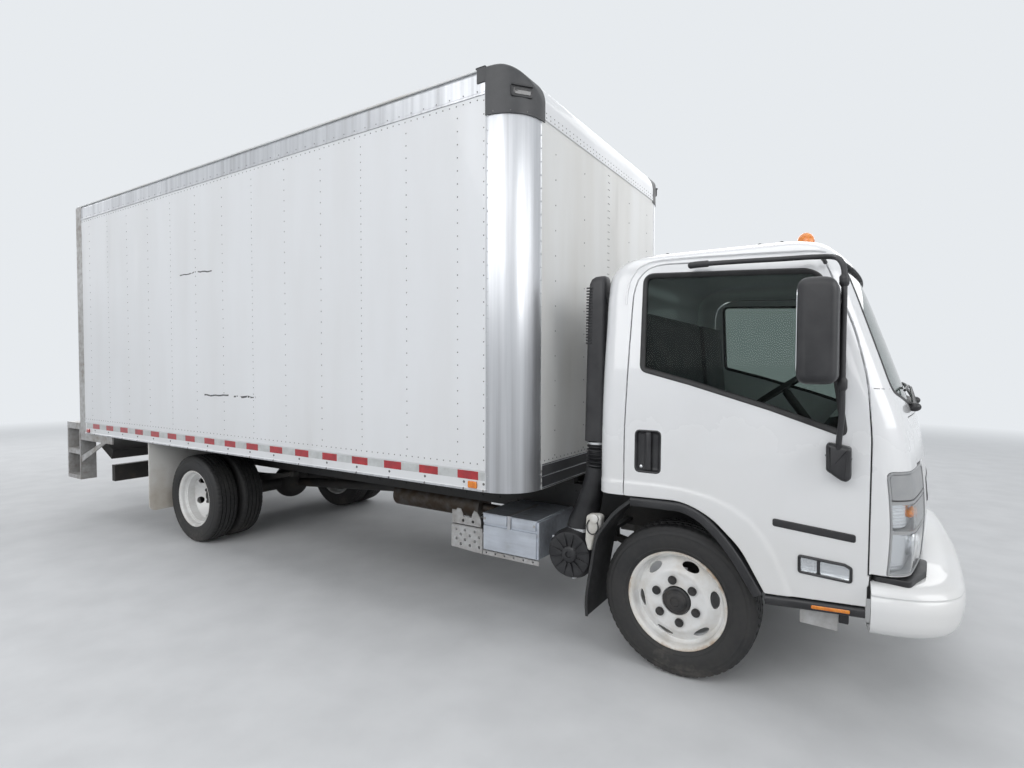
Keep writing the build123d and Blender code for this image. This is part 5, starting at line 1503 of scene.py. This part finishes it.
# axle and kind, x, distance from the centre line, head radius and height, washer radius, sides
hub_fasteners = (
    ("front", "nuts", 0, front_wheel_y + 0.098, 0.019, 0.024, 0.023, 6),
    ("front", "studs", 0, front_wheel_y + 0.102, 0.0105, 0.02, 0, 12),
    ("rear", "nuts", rear_x, rear_wheel_y - 0.105, 0.021, 0.026, 0.026, 6),
    ("rear", "studs", rear_x, rear_wheel_y - 0.087, 0.015, 0.026, 0, 12),
)
for axle, kind, x, y, radius, height, washer, sides in hub_fasteners:
    for side, way in (("right", -1), ("left", 1)):
        places = [
            (x + bolt_circle * math.cos(turn), way * y, wheel_z + bolt_circle * math.sin(turn))
            for turn in nut_turns
        ]
        add_heads(
            f"{axle}_{kind}_{side}", places, (0, way, 0), radius, height, black_iron, f"{axle}_wheel_{side}",
            washer, sides,
        )

# Tyres: radial truck tyres with four grooves round the tread and slots across its shoulders.
# Raised rings run round the sidewalls. Dust has greyed the tread and the lower sidewall.
tread_sides = 240
tyre_half_section = [
    (0.0, 0.4055), (0.0145, 0.4053), (0.016, 0.394), (0.024, 0.394), (0.0255, 0.405), (0.05, 0.4043),
    (0.0515, 0.3925), (0.0595, 0.3925), (0.061, 0.4034), (0.08, 0.401), (0.09, 0.3965), (0.0955, 0.39),
    (0.1, 0.379), (0.1018, 0.3765), (0.103, 0.3745), (0.1028, 0.3715), (0.1078, 0.356), (0.1092, 0.3545),
    (0.1088, 0.352), (0.1122, 0.335), (0.113, 0.323), (0.1124, 0.308), (0.11, 0.295), (0.1065, 0.285),
    (0.1072, 0.2815), (0.106, 0.278), (0.102, 0.2745), (0.0985, 0.269), (0.096, 0.264), (0.09, 0.2615),
    (0.08, 0.249), (0.06, 0.25), (0.07, 0.3), (0.078, 0.345), (0.06, 0.375), (0.0, 0.38),
]


def tyre(x, y, way):
    ring = np.array(
        tyre_half_section + [(-offset, radius) for offset, radius in reversed(tyre_half_section[1:-1])]
    )
    turns = np.linspace(0, 2 * math.pi, tread_sides, endpoint=False)
    rows = []
    for count, turn in enumerate(turns):
        radius = ring[:, 1].copy()
        shoulder = (np.abs(ring[:, 0]) > 0.06) & (radius > 0.389)
        radius[shoulder] -= 0.0035 * (count % 4 == 0)
        middle_band = (np.abs(ring[:, 0]) > 0.025) & (np.abs(ring[:, 0]) < 0.0505) & (radius > 0.4)
        radius[middle_band] -= 0.004 * (count % 4 == 2)
        rows.append(np.stack([
            front_axle_x + x + radius * math.cos(turn), way * y + ring[:, 0],
            wheel_z + radius * math.sin(turn),
        ], 1))
    return loop_rings(rows)


tyre_rubber = Finish("tyre_rubber", (0.02, 0.02, 0.021), 0.75)
tyre_dust = tyre_rubber.noise(5.0, 6.0) * 0.6 + tyre_rubber.noise(40, 4) * 0.3
tyre_dust += (1 - tyre_rubber.z.step(0.0, 0.25)) * 0.25
tyre_rubber.worn(
    tyre_dust, ((0.35, (0.014, 0.014, 0.015)), (0.6, (0.034, 0.033, 0.032)), (0.85, (0.115, 0.105, 0.095))),
    ((0.3, 0.55), (0.8, 0.92)),
)
tyre_rubber.bump(tyre_rubber.noise(160, 3), 0.0004)
for side, way in (("right", -1), ("left", 1)):
    add_piece(
        "front_tread_" + side, tyre(0, front_wheel_y, way), tyre_rubber, "front_wheel_" + side, "tyre_rubber",
        "front_tyre_" + side, angle=28,
    )
    twins = joined(tyre(rear_x, rear_wheel_y, way), tyre(rear_x, 2 * twin_middle_y - rear_wheel_y, way))
    add_piece(
        "rear_treads_" + side, twins, tyre_rubber, "rear_wheel_" + side, "tyre_rubber", "rear_tyres_" + side,
        angle=28,
    )


# Box: white aluminium sheets riveted to posts inside, between extruded rails with a bright lower edge.
# The sheets are the frame's own, dressed in paint that the years have scratched and greyed.
side_face, rail_face, bead_face, wall_face_x = 1.219, 1.218, 1.223, -0.79
box_back_x, box_corner_x = -6.265, -1.025
post_pitch, rivet_pitch, tape_pitch = 0.4064, 0.0508, 0.3048


def bar(x_low, x_high, y_low, y_high, z_low, z_high, edge=0.0015):
    """A straight bar or plate with its edges cut back."""
    rows = []
    for x, cut in ((x_low, edge), (x_low + edge, 0), (x_high - edge, 0), (x_high, edge)):
        y0, y1, z0, z1 = y_low + cut, y_high - cut, z_low + cut, z_high - cut
        corners = [
            (y0 + edge, z0), (y1 - edge, z0), (y1, z0 + edge), (y1, z1 - edge), (y1 - edge, z1),
            (y0 + edge, z1), (y0, z1 - edge), (y0, z0 + edge),
        ]
        rows.append(np.array([(x + front_axle_x, y, z) for y, z in corners]))
    return loop_rings(rows, "flat")


box_white = Finish("box_white_paint", (0.78, 0.79, 0.8), 0.38, coat=0.3)
streaks = box_white.noise(3.2, 6.0, (1.0, 1.0, 0.16)) * 0.55 + box_white.noise(0.7, 4.0) * 0.35
low_dust = 1 - box_white.z.step(0.9, 1.5)
# Two long scrapes, low and high on the right side: ends, height and half the height of each
wander = box_white.noise(5.0, 3.0) * 0.05
scrapes = 0.0
for from_x, to_x, scrape_z, half_height in ((-4.33, -3.76, 2.44, 0.005), (-3.96, -3.14, 1.395, 0.0065)):
    band = abs(box_white.z + wander * 0.9 - scrape_z - 0.025) < half_height
    along = (box_white.x > from_x + front_axle_x) * (box_white.x < to_x + front_axle_x)
    scrapes = band * along * (box_white.noise(16.0, 2.0) > 0.46) + scrapes
scrapes = scrapes * (box_white.y < 0.0)
box_grime = streaks + low_dust * 0.1 + scrapes * 0.9
box_white.set("Base Color", box_grime.stops(
    (0.38, (0.765, 0.78, 0.8)), (0.62, (0.715, 0.725, 0.735)), (0.9, (0.5, 0.5, 0.49)),
    (1.0, (0.06, 0.06, 0.06)),
))
box_white.set("Roughness", box_grime.greys((0.3, 0.3), (0.7, 0.52)))
box_white.bump(box_white.noise(1.1, 2.0, (2.4, 1.0, 0.6)), 0.012)
wall_cream = Finish("front_wall_cream", (0.74, 0.73, 0.69), 0.42, coat=0.2)
wall_grime = wall_cream.noise(2.4, 6.0, (1.0, 1.2, 0.22))
wall_cream.worn(
    wall_grime, ((0.4, (0.74, 0.745, 0.735)), (0.66, (0.67, 0.665, 0.64)), (0.9, (0.46, 0.45, 0.42)))
)
wall_cream.bump(wall_cream.noise(0.9, 2.0, (1.0, 2.0, 0.5)), 0.014)
bright = Finish("polished_aluminium", (0.8, 0.81, 0.82), 0.28, metallic=0.85)
brush = bright.noise(26.0, 5.0, (1.0, 1.0, 0.02)) * 0.7 + bright.noise(1.6, 4.0, (1.0, 1.0, 0.5)) * 0.3
bright.worn(
    brush, ((0.35, (0.62, 0.63, 0.65)), (0.55, (0.5, 0.51, 0.53)), (0.75, (0.36, 0.36, 0.37))),
    ((0.3, 0.26), (0.7, 0.5)),
)
# Rivet and bolt heads in dark grey: partly dirt, partly painted shade round each head, so that they read as
# dark dots.
rivet_dirt_and_shade = Finish("rivet_dirt_and_shade", (0.16, 0.16, 0.17), 0.45, metallic=0.6)
rivet_dirt_and_shade.worn(rivet_dirt_and_shade.noise(30, 3), ((0.4, (0.12, 0.12, 0.13)), (0.7, (0.26, 0.25, 0.23))))
rivets = []
seam_xs = [box_corner_x - post_pitch * (count + 0.5) for count in range(13)]
post_rivet_pitch = 0.0762
for z, pitch in ((1.074, rivet_pitch), (3.168, rivet_pitch), (3.216, 0.1016)):
    rivets += [(x, -side_face, z) for x in np.arange(box_back_x, box_corner_x - 0.015, pitch)]
for count, x in enumerate(seam_xs):
    pitch = rivet_pitch if count % 3 == 2 else post_rivet_pitch
    rivets += [(x, -side_face, z) for z in np.arange(1.118, 3.15, pitch)]
rivets += [(box_corner_x - 0.013, -side_face, z) for z in np.arange(1.1, 3.16, post_rivet_pitch)]
add_heads(
    "side_rivets", rivets, (0, -1, 0), 0.0048, 0.002, rivet_dirt_and_shade, "chassis", dome=True,
    twin=True,
)
post_heights = np.arange(0.93, 3.09, post_rivet_pitch)
post_rivets = [(box_corner_x + 0.012, -side_face - 0.0004, z) for z in post_heights]
post_rivets += [(wall_face_x + 0.0004, -0.99, z) for z in post_heights]
post_ways = [(0, -1, 0)] * len(post_heights) + [(1, 0, 0)] * len(post_heights)
add_heads(
    "post_rivets", post_rivets, post_ways, 0.005, 0.002, bright, "chassis", sides=8,
    dome=True, twin=True,
)
wall_rivets = [(wall_face_x, y, z) for y in (-0.01, 0.01) for z in np.arange(1.1, 3.08, rivet_pitch)]
wall_rivets += [
    (wall_face_x, y, z) for y in (-0.8128, -0.4064, 0.4064, 0.8128) for z in np.arange(1.1, 3.08, 0.1524)
]
wall_rivets += [(wall_face_x, y, 1.082) for y in np.arange(-0.94, 0.95, rivet_pitch)]
add_heads(
    "wall_rivets", wall_rivets, (1, 0, 0), 0.0048, 0.002, rivet_dirt_and_shade, "chassis",
    dome=True,
)
bolts = []
for x in [box_corner_x - 0.014, *np.arange(-1.182, -6.2, -tape_pitch)]:
    bolts += [(x, -rail_face, 0.96), (x, -bead_face, 0.9205)]
add_heads(
    "rail_bolts", bolts, (0, -1, 0), 0.0062, 0.006, rivet_dirt_and_shade, "chassis", washer=0.008,
    twin=True,
)
laps = [
    bar(x - 0.016, x + 0.016, -side_face - 0.0008, -side_face + 0.001, 1.052, 3.188, 0.0004)
    for x in seam_xs[2::3]
]
laps += [bar(
    box_corner_x - 0.028, box_corner_x - 0.0005, -side_face - 0.0006, -side_face + 0.001, 1.052, 3.188,
    0.0003,
)]
add_piece("sheet_laps", both(joined(*laps)), box_white, "chassis", "body_white")
lower_edge = bar(box_back_x, box_corner_x, -bead_face - 0.0012, -bead_face + 0.002, 0.9145, 0.9262, 0.0005)
upper_edge = bar(box_back_x, box_corner_x, -bead_face - 0.001, -bead_face + 0.002, 3.19, 3.202, 0.0005)
add_piece("rail_edges", both(joined(lower_edge, upper_edge)), bright, "chassis", "bright_aluminium")

# Marking tape: red and silver reflecting tape along the lower rail, with square amber and red markers.
tape_red = Finish("tape_red", (0.42, 0.015, 0.022), 0.3, coat=0.5)
tape_red.worn(tape_red.noise(18, 5), ((0.35, (0.44, 0.015, 0.022)), (0.75, (0.24, 0.012, 0.018))))
tape_silver = Finish("tape_silver", (0.55, 0.57, 0.58), 0.35, coat=0.5)
tape_silver.worn(tape_silver.noise(18, 5), ((0.35, (0.56, 0.58, 0.58)), (0.75, (0.42, 0.43, 0.43))))
first_red_x, half_pitch = -6.107, tape_pitch / 2


def tape(x_low, x_high):
    return bar(x_low, x_high, -rail_face - 0.0008, -rail_face + 0.001, 0.979, 1.029, 0.0003)


def marker(x_low):
    return bar(x_low, x_low + 0.065, -rail_face - 0.012, -rail_face + 0.001, 0.93, 0.97, 0.004)


reds = [tape(x, x + half_pitch) for x in first_red_x + tape_pitch * np.arange(17)]
silvers = [
    tape(x + half_pitch + 0.001, min(x + tape_pitch - 0.001, box_corner_x - 0.003))
    for x in first_red_x + tape_pitch * np.arange(-1, 17) if x + half_pitch < box_corner_x - 0.02
]
add_piece("tape_reds", both(joined(*reds)), tape_red, "chassis", "lamp_lens")
add_piece("tape_silvers", both(joined(*silvers)), tape_silver, "chassis", "lamp_lens")
add_piece("front_markers", both(marker(-1.149)), amber, "chassis", "lamp_lens")
red_lens = Finish("red_lens", (0.4, 0.012, 0.014), 0.18, coat=0.6)
red_lens.worn(red_lens.noise(25, 4), ((0.4, (0.44, 0.012, 0.014)), (0.8, (0.28, 0.012, 0.014))))
add_piece("tail_markers", both(marker(-6.245)), red_lens, "chassis", "lamp_lens")

# Front wall's lower rail: a dark extrusion with three bright ridges, between the corner posts.
charcoal = Finish("charcoal_plastic", (0.042, 0.043, 0.046), 0.5)
fade = charcoal.noise(9, 6)
charcoal.worn(fade, ((0.35, (0.036, 0.037, 0.04)), (0.75, (0.075, 0.076, 0.078))), ((0.3, 0.42), (0.8, 0.66)))
add_piece(
    "wall_rail", bar(wall_face_x - 0.002, wall_face_x + 0.0035, -0.972, 0.972, 0.918, 1.064, 0.0012),
    charcoal, "chassis", "chassis_black",
)
ridges = [
    bar(wall_face_x, wall_face_x + 0.0058, -0.972, 0.972, z - 0.003, z + 0.003, 0.0012)
    for z in (0.926, 0.992, 1.058)
]
add_piece("wall_rail_ridges", joined(*ridges), bright, "chassis", "bright_aluminium")

# Roof nose: a white moulding that turns the roof down over the front wall, riveted through a lap strip.
nose_radius, nose_low, nose_lap = 0.172, 3.088, 3.12
nose_front, nose_top, nose_thick = wall_face_x + 0.004, 3.3452, 0.0035
nose_turn = np.linspace(0, math.pi / 2, 26)[:, None]
nose_ways = np.column_stack([np.cos(nose_turn), np.sin(nose_turn)])
nose_centre = np.array((nose_front - nose_radius, nose_top - nose_radius))
nose_outer = np.vstack(
    [[(nose_front, nose_low)], nose_centre + nose_radius * nose_ways, [(-1.075, nose_top)]]
)
nose_inner = nose_outer - nose_thick * np.vstack([[(1, 0)], nose_ways, [(0, 1)]])
nose_ring = np.vstack([nose_outer, nose_inner[::-1]])
nose_rows = [
    np.column_stack([nose_ring[:, 0] + front_axle_x, np.full(len(nose_ring), y), nose_ring[:, 1]])
    for y in (0.975, 0.5, 0, -0.5, -0.975)
]
nose_strip = bar(
    nose_front - 0.001, nose_front + 0.0014, -0.958, 0.958, nose_low - 0.003, nose_lap - 0.004, 0.0004
)
add_piece(
    "nose_skin", joined(loop_rings(nose_rows, "flat"), nose_strip), box_white, "chassis", "body_white",
    angle=30,
)
nose_rivets = [(nose_front + 0.0012, y, nose_low + 0.013) for y in np.arange(-0.94, 0.945, rivet_pitch)]
nose_rivets += [(nose_front, y, nose_lap + 0.008) for y in np.arange(-0.94, 0.945, rivet_pitch)]
add_heads(
    "nose_rivets", nose_rivets, (1, 0, 0), 0.0046, 0.0018, rivet_dirt_and_shade, "chassis",
    dome=True,
)

# Corner caps: charcoal mouldings that follow the post's corner in plan and the nose in profile, over both.
cap_radius, cap_low, cap_inner_y, cap_thick = 0.241, 3.068, -0.956, 0.004
cap_middle_y = -0.984
cap_nose = cap_radius + box_corner_x - (nose_front - nose_radius)
cap_rings = []
for heading in np.linspace(0, math.pi / 2, 30):
    edge_way = np.array((math.sin(heading), -math.cos(heading)))
    wall_point = np.array((box_corner_x, cap_middle_y)) + cap_radius * edge_way
    reach = max(wall_point[0] - nose_centre[0], 0.0)
    climb = math.sqrt(max(cap_nose ** 2 - reach ** 2, 0.0))
    top_z = min(nose_centre[1] + climb, 3.3498)
    lean = np.array((reach, climb)) / cap_nose
    soft = 0.02 * math.cos(heading) ** 0.5
    wall_part = [(*wall_point, z) for z in np.linspace(cap_low, top_z - soft, 9)]
    turn_part = [
        (wall_point[0], wall_point[1] + soft * (1 - math.cos(angle)), top_z - soft * (1 - math.sin(angle)))
        for angle in np.radians((22, 45, 68))
    ]
    top_part = [(wall_point[0], y, top_z) for y in np.linspace(wall_point[1] + soft, cap_inner_y, 9)]
    inner_wall = wall_point - cap_thick * edge_way
    inner_top = (inner_wall[0] - cap_thick * lean[0], top_z - cap_thick * lean[1])
    back_part = [(inner_top[0], y, inner_top[1]) for y in np.linspace(cap_inner_y, inner_wall[1] + soft, 9)]
    back_part += [(*inner_wall, z) for z in np.linspace(top_z - soft, cap_low, 9)]
    cap_rings.append(np.array(wall_part + turn_part + top_part + back_part) + (front_axle_x, 0, 0))
cap_half = joined(
    loop_rings(cap_rings, "flat"),
    bar(-0.7925, -0.7841, -0.986, cap_inner_y, cap_low, nose_centre[1] + 0.004, 0.0008),
    bar(-1.086, -1.0235, -1.2254, -1.17, 3.258, 3.3497, 0.003),
    bar(-1.094, -1.0235, -1.2254, -0.96, 3.34, 3.3497, 0.003),
)
add_piece("cap_skins", both(cap_half), charcoal, "chassis", "black_plastic", "corner_caps")
cap_turns = np.radians((12, 36, 60, 84))
cap_rivets = [
    (box_corner_x + cap_radius * math.sin(turn), cap_middle_y - cap_radius * math.cos(turn), cap_low + 0.014)
    for turn in cap_turns
]
cap_ways = [(math.sin(turn), -math.cos(turn), 0) for turn in cap_turns]
add_heads(
    "cap_rivets", cap_rivets, cap_ways, 0.0045, 0.002, rivet_dirt_and_shade, "chassis", dome=True,
    twin=True,
)

# Corner lamps: a smoked lens in a black frame with a brow over it, screwed to the cap.
lamp_heading, lamp_middle_z = math.radians(38), 3.19


def cap_on(points):
    along = np.array((math.sin(lamp_heading), math.cos(lamp_heading)))
    out = np.array((math.cos(lamp_heading), -math.sin(lamp_heading)))
    flat = np.array((box_corner_x, cap_middle_y)) + points[:, :1] * along + points[:, 2:] * out
    return np.column_stack([flat[:, 0] + front_axle_x, flat[:, 1], lamp_middle_z + points[:, 1]])


def lamp_slab(half_length, half_height, corner, low, high, edge):
    corners = box_of(-half_length, half_length, -half_height, half_height)
    return plate(rounded(corners, corner), low, high, edge, cap_on)


cap_lens = lamp_slab(0.052, 0.021, 0.01, 0.225, 0.247, 0.004)
cap_bezel = joined(
    lamp_slab(0.066, 0.032, 0.014, 0.222, 0.2445, 0.003),
    plate(
        rounded([(-0.066, 0.026), (0.066, 0.026), (0.064, 0.038), (-0.064, 0.038)], 0.004), 0.222, 0.252,
        0.003, cap_on,
    ),
)
smoked = Finish("smoked_lens", (0.035, 0.034, 0.036), 0.12, coat=0.8)
smoked.worn(smoked.noise(30, 4), ((0.35, (0.03, 0.029, 0.031)), (0.8, (0.075, 0.07, 0.068))))
add_piece("cap_lenses", both(cap_lens), smoked, "chassis", "lamp_lens")
add_piece("cap_bezels", both(cap_bezel), black_plastic, "chassis", "black_plastic")

# Battery box and cab step: folded aluminium sheet on two arms from the frame rail.
# The lid is two panels under a strap; the step's plates are punched so that mud falls through.
def punched(outline, holes, low, high, place):
    """A flat sheet with holes: one filled curve, given its thickness and put in place."""
    curve = bpy.data.curves.new("sheet", "CURVE")
    curve.dimensions = "2D"
    curve.fill_mode = "BOTH"
    curve.extrude = (high - low) / 2
    for ring in (outline, *holes):
        spline = curve.splines.new("POLY")
        spline.points.add(len(ring) - 1)
        for point, (across, up_by) in zip(spline.points, ring):
            point.co = (across, up_by, 0, 1)
        spline.use_cyclic_u = True
    made = bpy.data.objects.new("sheet", curve)
    bpy.context.collection.objects.link(made)
    mesh = bpy.data.meshes.new_from_object(made.evaluated_get(bpy.context.evaluated_depsgraph_get()))
    points = np.array([vertex.co[:] for vertex in mesh.vertices]) + (0, 0, (low + high) / 2)
    faces = [tuple(polygon.vertices) for polygon in mesh.polygons]
    bpy.data.objects.remove(made)
    return place(points), faces


def circle(x, z, radius, sides=16):
    turns = np.linspace(0, 2 * math.pi, sides, endpoint=False)
    return np.stack([x + radius * np.cos(turns), z + radius * np.sin(turns)], 1)


sheet_metal = Finish("sheet_aluminium", (0.56, 0.6, 0.66), 0.42, metallic=0.75)
haze = sheet_metal.noise(7, 6) * 0.6 + sheet_metal.noise(40, 3, (0.1, 1, 1)) * 0.4
sheet_metal.worn(
    haze, ((0.35, (0.62, 0.66, 0.72)), (0.6, (0.48, 0.51, 0.56)), (0.85, (0.3, 0.29, 0.27))),
    ((0.3, 0.32), (0.8, 0.62)),
)
zinc = Finish("galvanised_steel", (0.42, 0.42, 0.42), 0.55, metallic=0.6)
spangle = zinc.noise(22, 5) * 0.6 + zinc.noise(3, 5) * 0.4
zinc.worn(
    spangle, ((0.35, (0.5, 0.5, 0.5)), (0.55, (0.38, 0.37, 0.36)), (0.8, (0.22, 0.18, 0.14))),
    ((0.3, 0.42), (0.8, 0.75)),
)
box_parts = [
    bar(-1.26, -0.848, -0.904, -0.43, 0.456, 0.69, 0.004),
    bar(-1.264, -0.856, -0.913, -0.545, 0.69, 0.699, 0.002),
    bar(-1.258, -1.078, -0.9145, -0.9, 0.634, 0.694, 0.003),
    bar(-1.042, -0.864, -0.9145, -0.9, 0.634, 0.694, 0.003),
    bar(-1.258, -0.862, -0.913, -0.9, 0.46, 0.62, 0.003),
]
add_piece(
    "battery_case", joined(*box_parts), sheet_metal, "chassis", "galvanised_steel", "battery_box", angle=30
)
strap = joined(
    bar(-1.072, -1.048, -0.9155, -0.9, 0.616, 0.702, 0.002),
    bar(-1.072, -1.048, -0.9155, -0.55, 0.699, 0.703, 0.001),
)
add_piece("battery_strap", strap, bright, "chassis", "bright_aluminium")
lip_sheet = punched(
    box_of(-1.262, -0.842, 0.425, 0.452),
    [circle(x, 0.442, 0.0075) for x in np.arange(-1.235, -0.85, 0.07)], -0.911, -0.907, side_on,
)
# two rows of three holes, set off against each other, and the same two again below
wide_row, narrow_row = (-1.475, -1.405, -1.325), (-1.44, -1.365, -1.29)
hole_rows = ((0.56, wide_row), (0.528, narrow_row), (0.496, wide_row), (0.464, narrow_row))
lower_outline = [(-1.519, 0.438), (-1.266, 0.425), (-1.266, 0.586), (-1.519, 0.586)]
lower_holes = [circle(x, z, 0.01) for z, row in hole_rows for x in row]
lower_step = punched(lower_outline, lower_holes, -0.915, -0.911, side_on)
upper_outline = [
    (-1.512, 0.598), (-1.276, 0.598), (-1.276, 0.64), (-1.286, 0.664), (-1.306, 0.69), (-1.33, 0.7),
    (-1.345, 0.672), (-1.352, 0.65), (-1.418, 0.65), (-1.424, 0.672), (-1.44, 0.7), (-1.47, 0.7),
    (-1.478, 0.686), (-1.512, 0.686),
]
upper_holes = [circle(x, 0.624, 0.01) for x in (-1.42, -1.34)]
upper_step = punched(upper_outline, upper_holes, -0.915, -0.911, side_on)
arms = joined(
    bar(-1.519, -1.27, -0.912, -0.7, 0.586, 0.59, 0.001),
    bar(-1.5, -1.47, -0.911, -0.425, 0.56, 0.586, 0.003),
    bar(-1.3, -1.272, -0.911, -0.425, 0.56, 0.586, 0.003), bar(-0.9, -0.87, -0.56, -0.425, 0.64, 0.68, 0.003),
)
add_piece(
    "cab_step", joined(lip_sheet, lower_step, upper_step, arms), zinc, "chassis", "galvanised_steel", angle=30
)

# Frame, axles and what hangs under the truck: the frame's own solids, with their edges broken.
# They are welded and bolted steel in chassis black, dusted by the road and rusty at the edges.
chassis_black = Finish("chassis_black", (0.03, 0.029, 0.028), 0.62)
road_dust = chassis_black.noise(4, 6) * 0.6 + chassis_black.noise(30, 4) * 0.25
road_dust += (1 - chassis_black.z.step(0.2, 0.8)) * 0.15
chassis_black.worn(
    road_dust,
    (
        (0.35, (0.016, 0.016, 0.017)), (0.58, (0.04, 0.037, 0.034)), (0.75, (0.1, 0.075, 0.055)),
        (0.9, (0.17, 0.09, 0.045)),
    ),
    ((0.3, 0.48), (0.8, 0.88)),
)
chassis_black.bump(chassis_black.noise(70, 4), 0.0006)
exhaust_steel = Finish("exhaust_steel", (0.3, 0.25, 0.2), 0.6, metallic=0.6)
scale_rust = exhaust_steel.noise(11, 6)
exhaust_steel.worn(
    scale_rust, ((0.35, (0.12, 0.11, 0.1)), (0.55, (0.075, 0.055, 0.04)), (0.8, (0.06, 0.032, 0.018)))
)
exhaust_steel.bump(exhaust_steel.noise(45, 5), 0.001)
engine_iron = Finish("engine_iron", (0.16, 0.16, 0.15), 0.65, metallic=0.3)
oil = engine_iron.noise(7, 6)
engine_iron.worn(oil, ((0.35, (0.2, 0.2, 0.19)), (0.6, (0.1, 0.09, 0.08)), (0.85, (0.03, 0.025, 0.02))))
engine_iron.bump(engine_iron.noise(38, 5), 0.0012)
door_white = Finish("rear_door_white", (0.74, 0.75, 0.75), 0.45, coat=0.2)
door_grime = door_white.noise(3, 6, (1, 1, 0.3)) + (1 - door_white.z.step(1.0, 1.7)) * 0.2
door_white.worn(
    door_grime, ((0.4, (0.76, 0.77, 0.77)), (0.65, (0.62, 0.61, 0.58)), (0.95, (0.36, 0.34, 0.3)))
)
roof_sheet = Finish("roof_sheet", (0.66, 0.68, 0.7), 0.45, metallic=0.2)
roof_dirt = roof_sheet.noise(2, 6)
roof_sheet.worn(roof_dirt, ((0.35, (0.7, 0.72, 0.73)), (0.65, (0.58, 0.58, 0.56)), (0.9, (0.38, 0.36, 0.32))))
flap_white = Finish("mudflap_white", (0.7, 0.69, 0.66), 0.6)
mud = flap_white.noise(6, 6) * 0.6 + (1 - flap_white.z.step(0.25, 0.75)) * 0.35
flap_white.worn(mud, ((0.35, (0.74, 0.73, 0.7)), (0.6, (0.56, 0.52, 0.46)), (0.9, (0.26, 0.21, 0.16))))
fabric = Finish("seat_fabric", (0.1, 0.1, 0.11), 0.9)
weave = fabric.noise(220, 2) * 0.5 + fabric.noise(12, 5) * 0.5
fabric.worn(weave, ((0.35, (0.075, 0.077, 0.085)), (0.7, (0.15, 0.15, 0.16))))
fabric.bump(fabric.noise(320, 2), 0.0008)
dressed = {
    "box_sides": (box_white, 0.001), "bottom_rails": (box_white, 0.001),
    "box_front_wall": (wall_cream, 0.001), "box_roof": (roof_sheet, 0.003), "top_rails": (bright, 0.001),
    "corner_posts": (bright, 0.001), "rear_frame": (zinc, 0.003), "rear_steps": (zinc, 0.001),
    "rollup_door": (door_white, 0.002), "rear_mudflaps": (flap_white, 0.002),
    "frame_rails": (chassis_black, 0.002), "engine_block": (engine_iron, 0.006),
    "front_axle": (chassis_black, 0.004), "rear_axle": (chassis_black, 0.004),
    "leaf_springs": (chassis_black, 0.001), "propeller_shaft": (chassis_black, 0.002),
    "fuel_tank": (chassis_black, 0.002), "exhaust": (exhaust_steel, 0.002),
    "box_floor": (chassis_black, 0.001), "gate_frame": (chassis_black, 0.002),
    "gate_arms": (chassis_black, 0.002), "gate_platform": (chassis_black, 0.002),
    "tie_rod": (chassis_black, 0.001), "knuckle_right": (black_iron, 0.003),
    "knuckle_left": (black_iron, 0.003), "seats": (fabric, 0.006), "dashboard": (black_plastic, 0.006),
    "steering_wheel": (black_plastic, 0.002),
}
for node, (finish, edge) in dressed.items():
    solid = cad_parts[node]
    solid.data.materials.clear()
    solid.data.materials.append(finish.material)
    weld = solid.modifiers.new("weld", "WELD")
    weld.merge_threshold = 0.00002
    soft_edge = solid.modifiers.new("soft_edge", "BEVEL")
    soft_edge.width = edge
    soft_edge.segments = 2
    soft_edge.limit_method = "ANGLE"
    soft_edge.angle_limit = math.radians(40)

# Chassis fasteners: rivet heads along the frame rails, spring bolts, tank and step bolts.
rail_rivets = [(x, -0.4255, z) for x in np.arange(-5.95, -0.7, 0.155) for z in (0.68, 0.8)]
add_heads(
    "frame_rivets", rail_rivets, (0, -1, 0), 0.0095, 0.004, chassis_black, "chassis",
    sides=8, dome=True, twin=True,
)
step_bolts = [(x, -0.915, z) for x in (-1.502, -1.284) for z in (0.606, 0.578)]
step_bolts += [(x, -0.914, 0.663) for x in (-1.246, -0.876)]
add_heads(
    "step_bolts", step_bolts, (0, -1, 0), 0.0065, 0.006, zinc, "chassis", washer=0.009
)

# Step plate under the right sill: a light grey panel hung on a black bracket behind the bumper's end.
step_plate = plate(
    rounded([(0.585, 0.438), (0.742, 0.432), (0.742, 0.575), (0.585, 0.56)], 0.006), -0.925, -0.917, 0.002,
    side_on, 1,
)
step_bracket = joined(
    bar(0.56, 0.79, -0.917, -0.88, 0.56, 0.6, 0.003), bar(0.745, 0.785, -0.92, -0.885, 0.47, 0.565, 0.003)
)
add_piece("step_plates", both(step_plate), zinc, "cab", "galvanised_steel")
add_piece("step_brackets", both(step_bracket), black_plastic, "cab", "black_plastic")
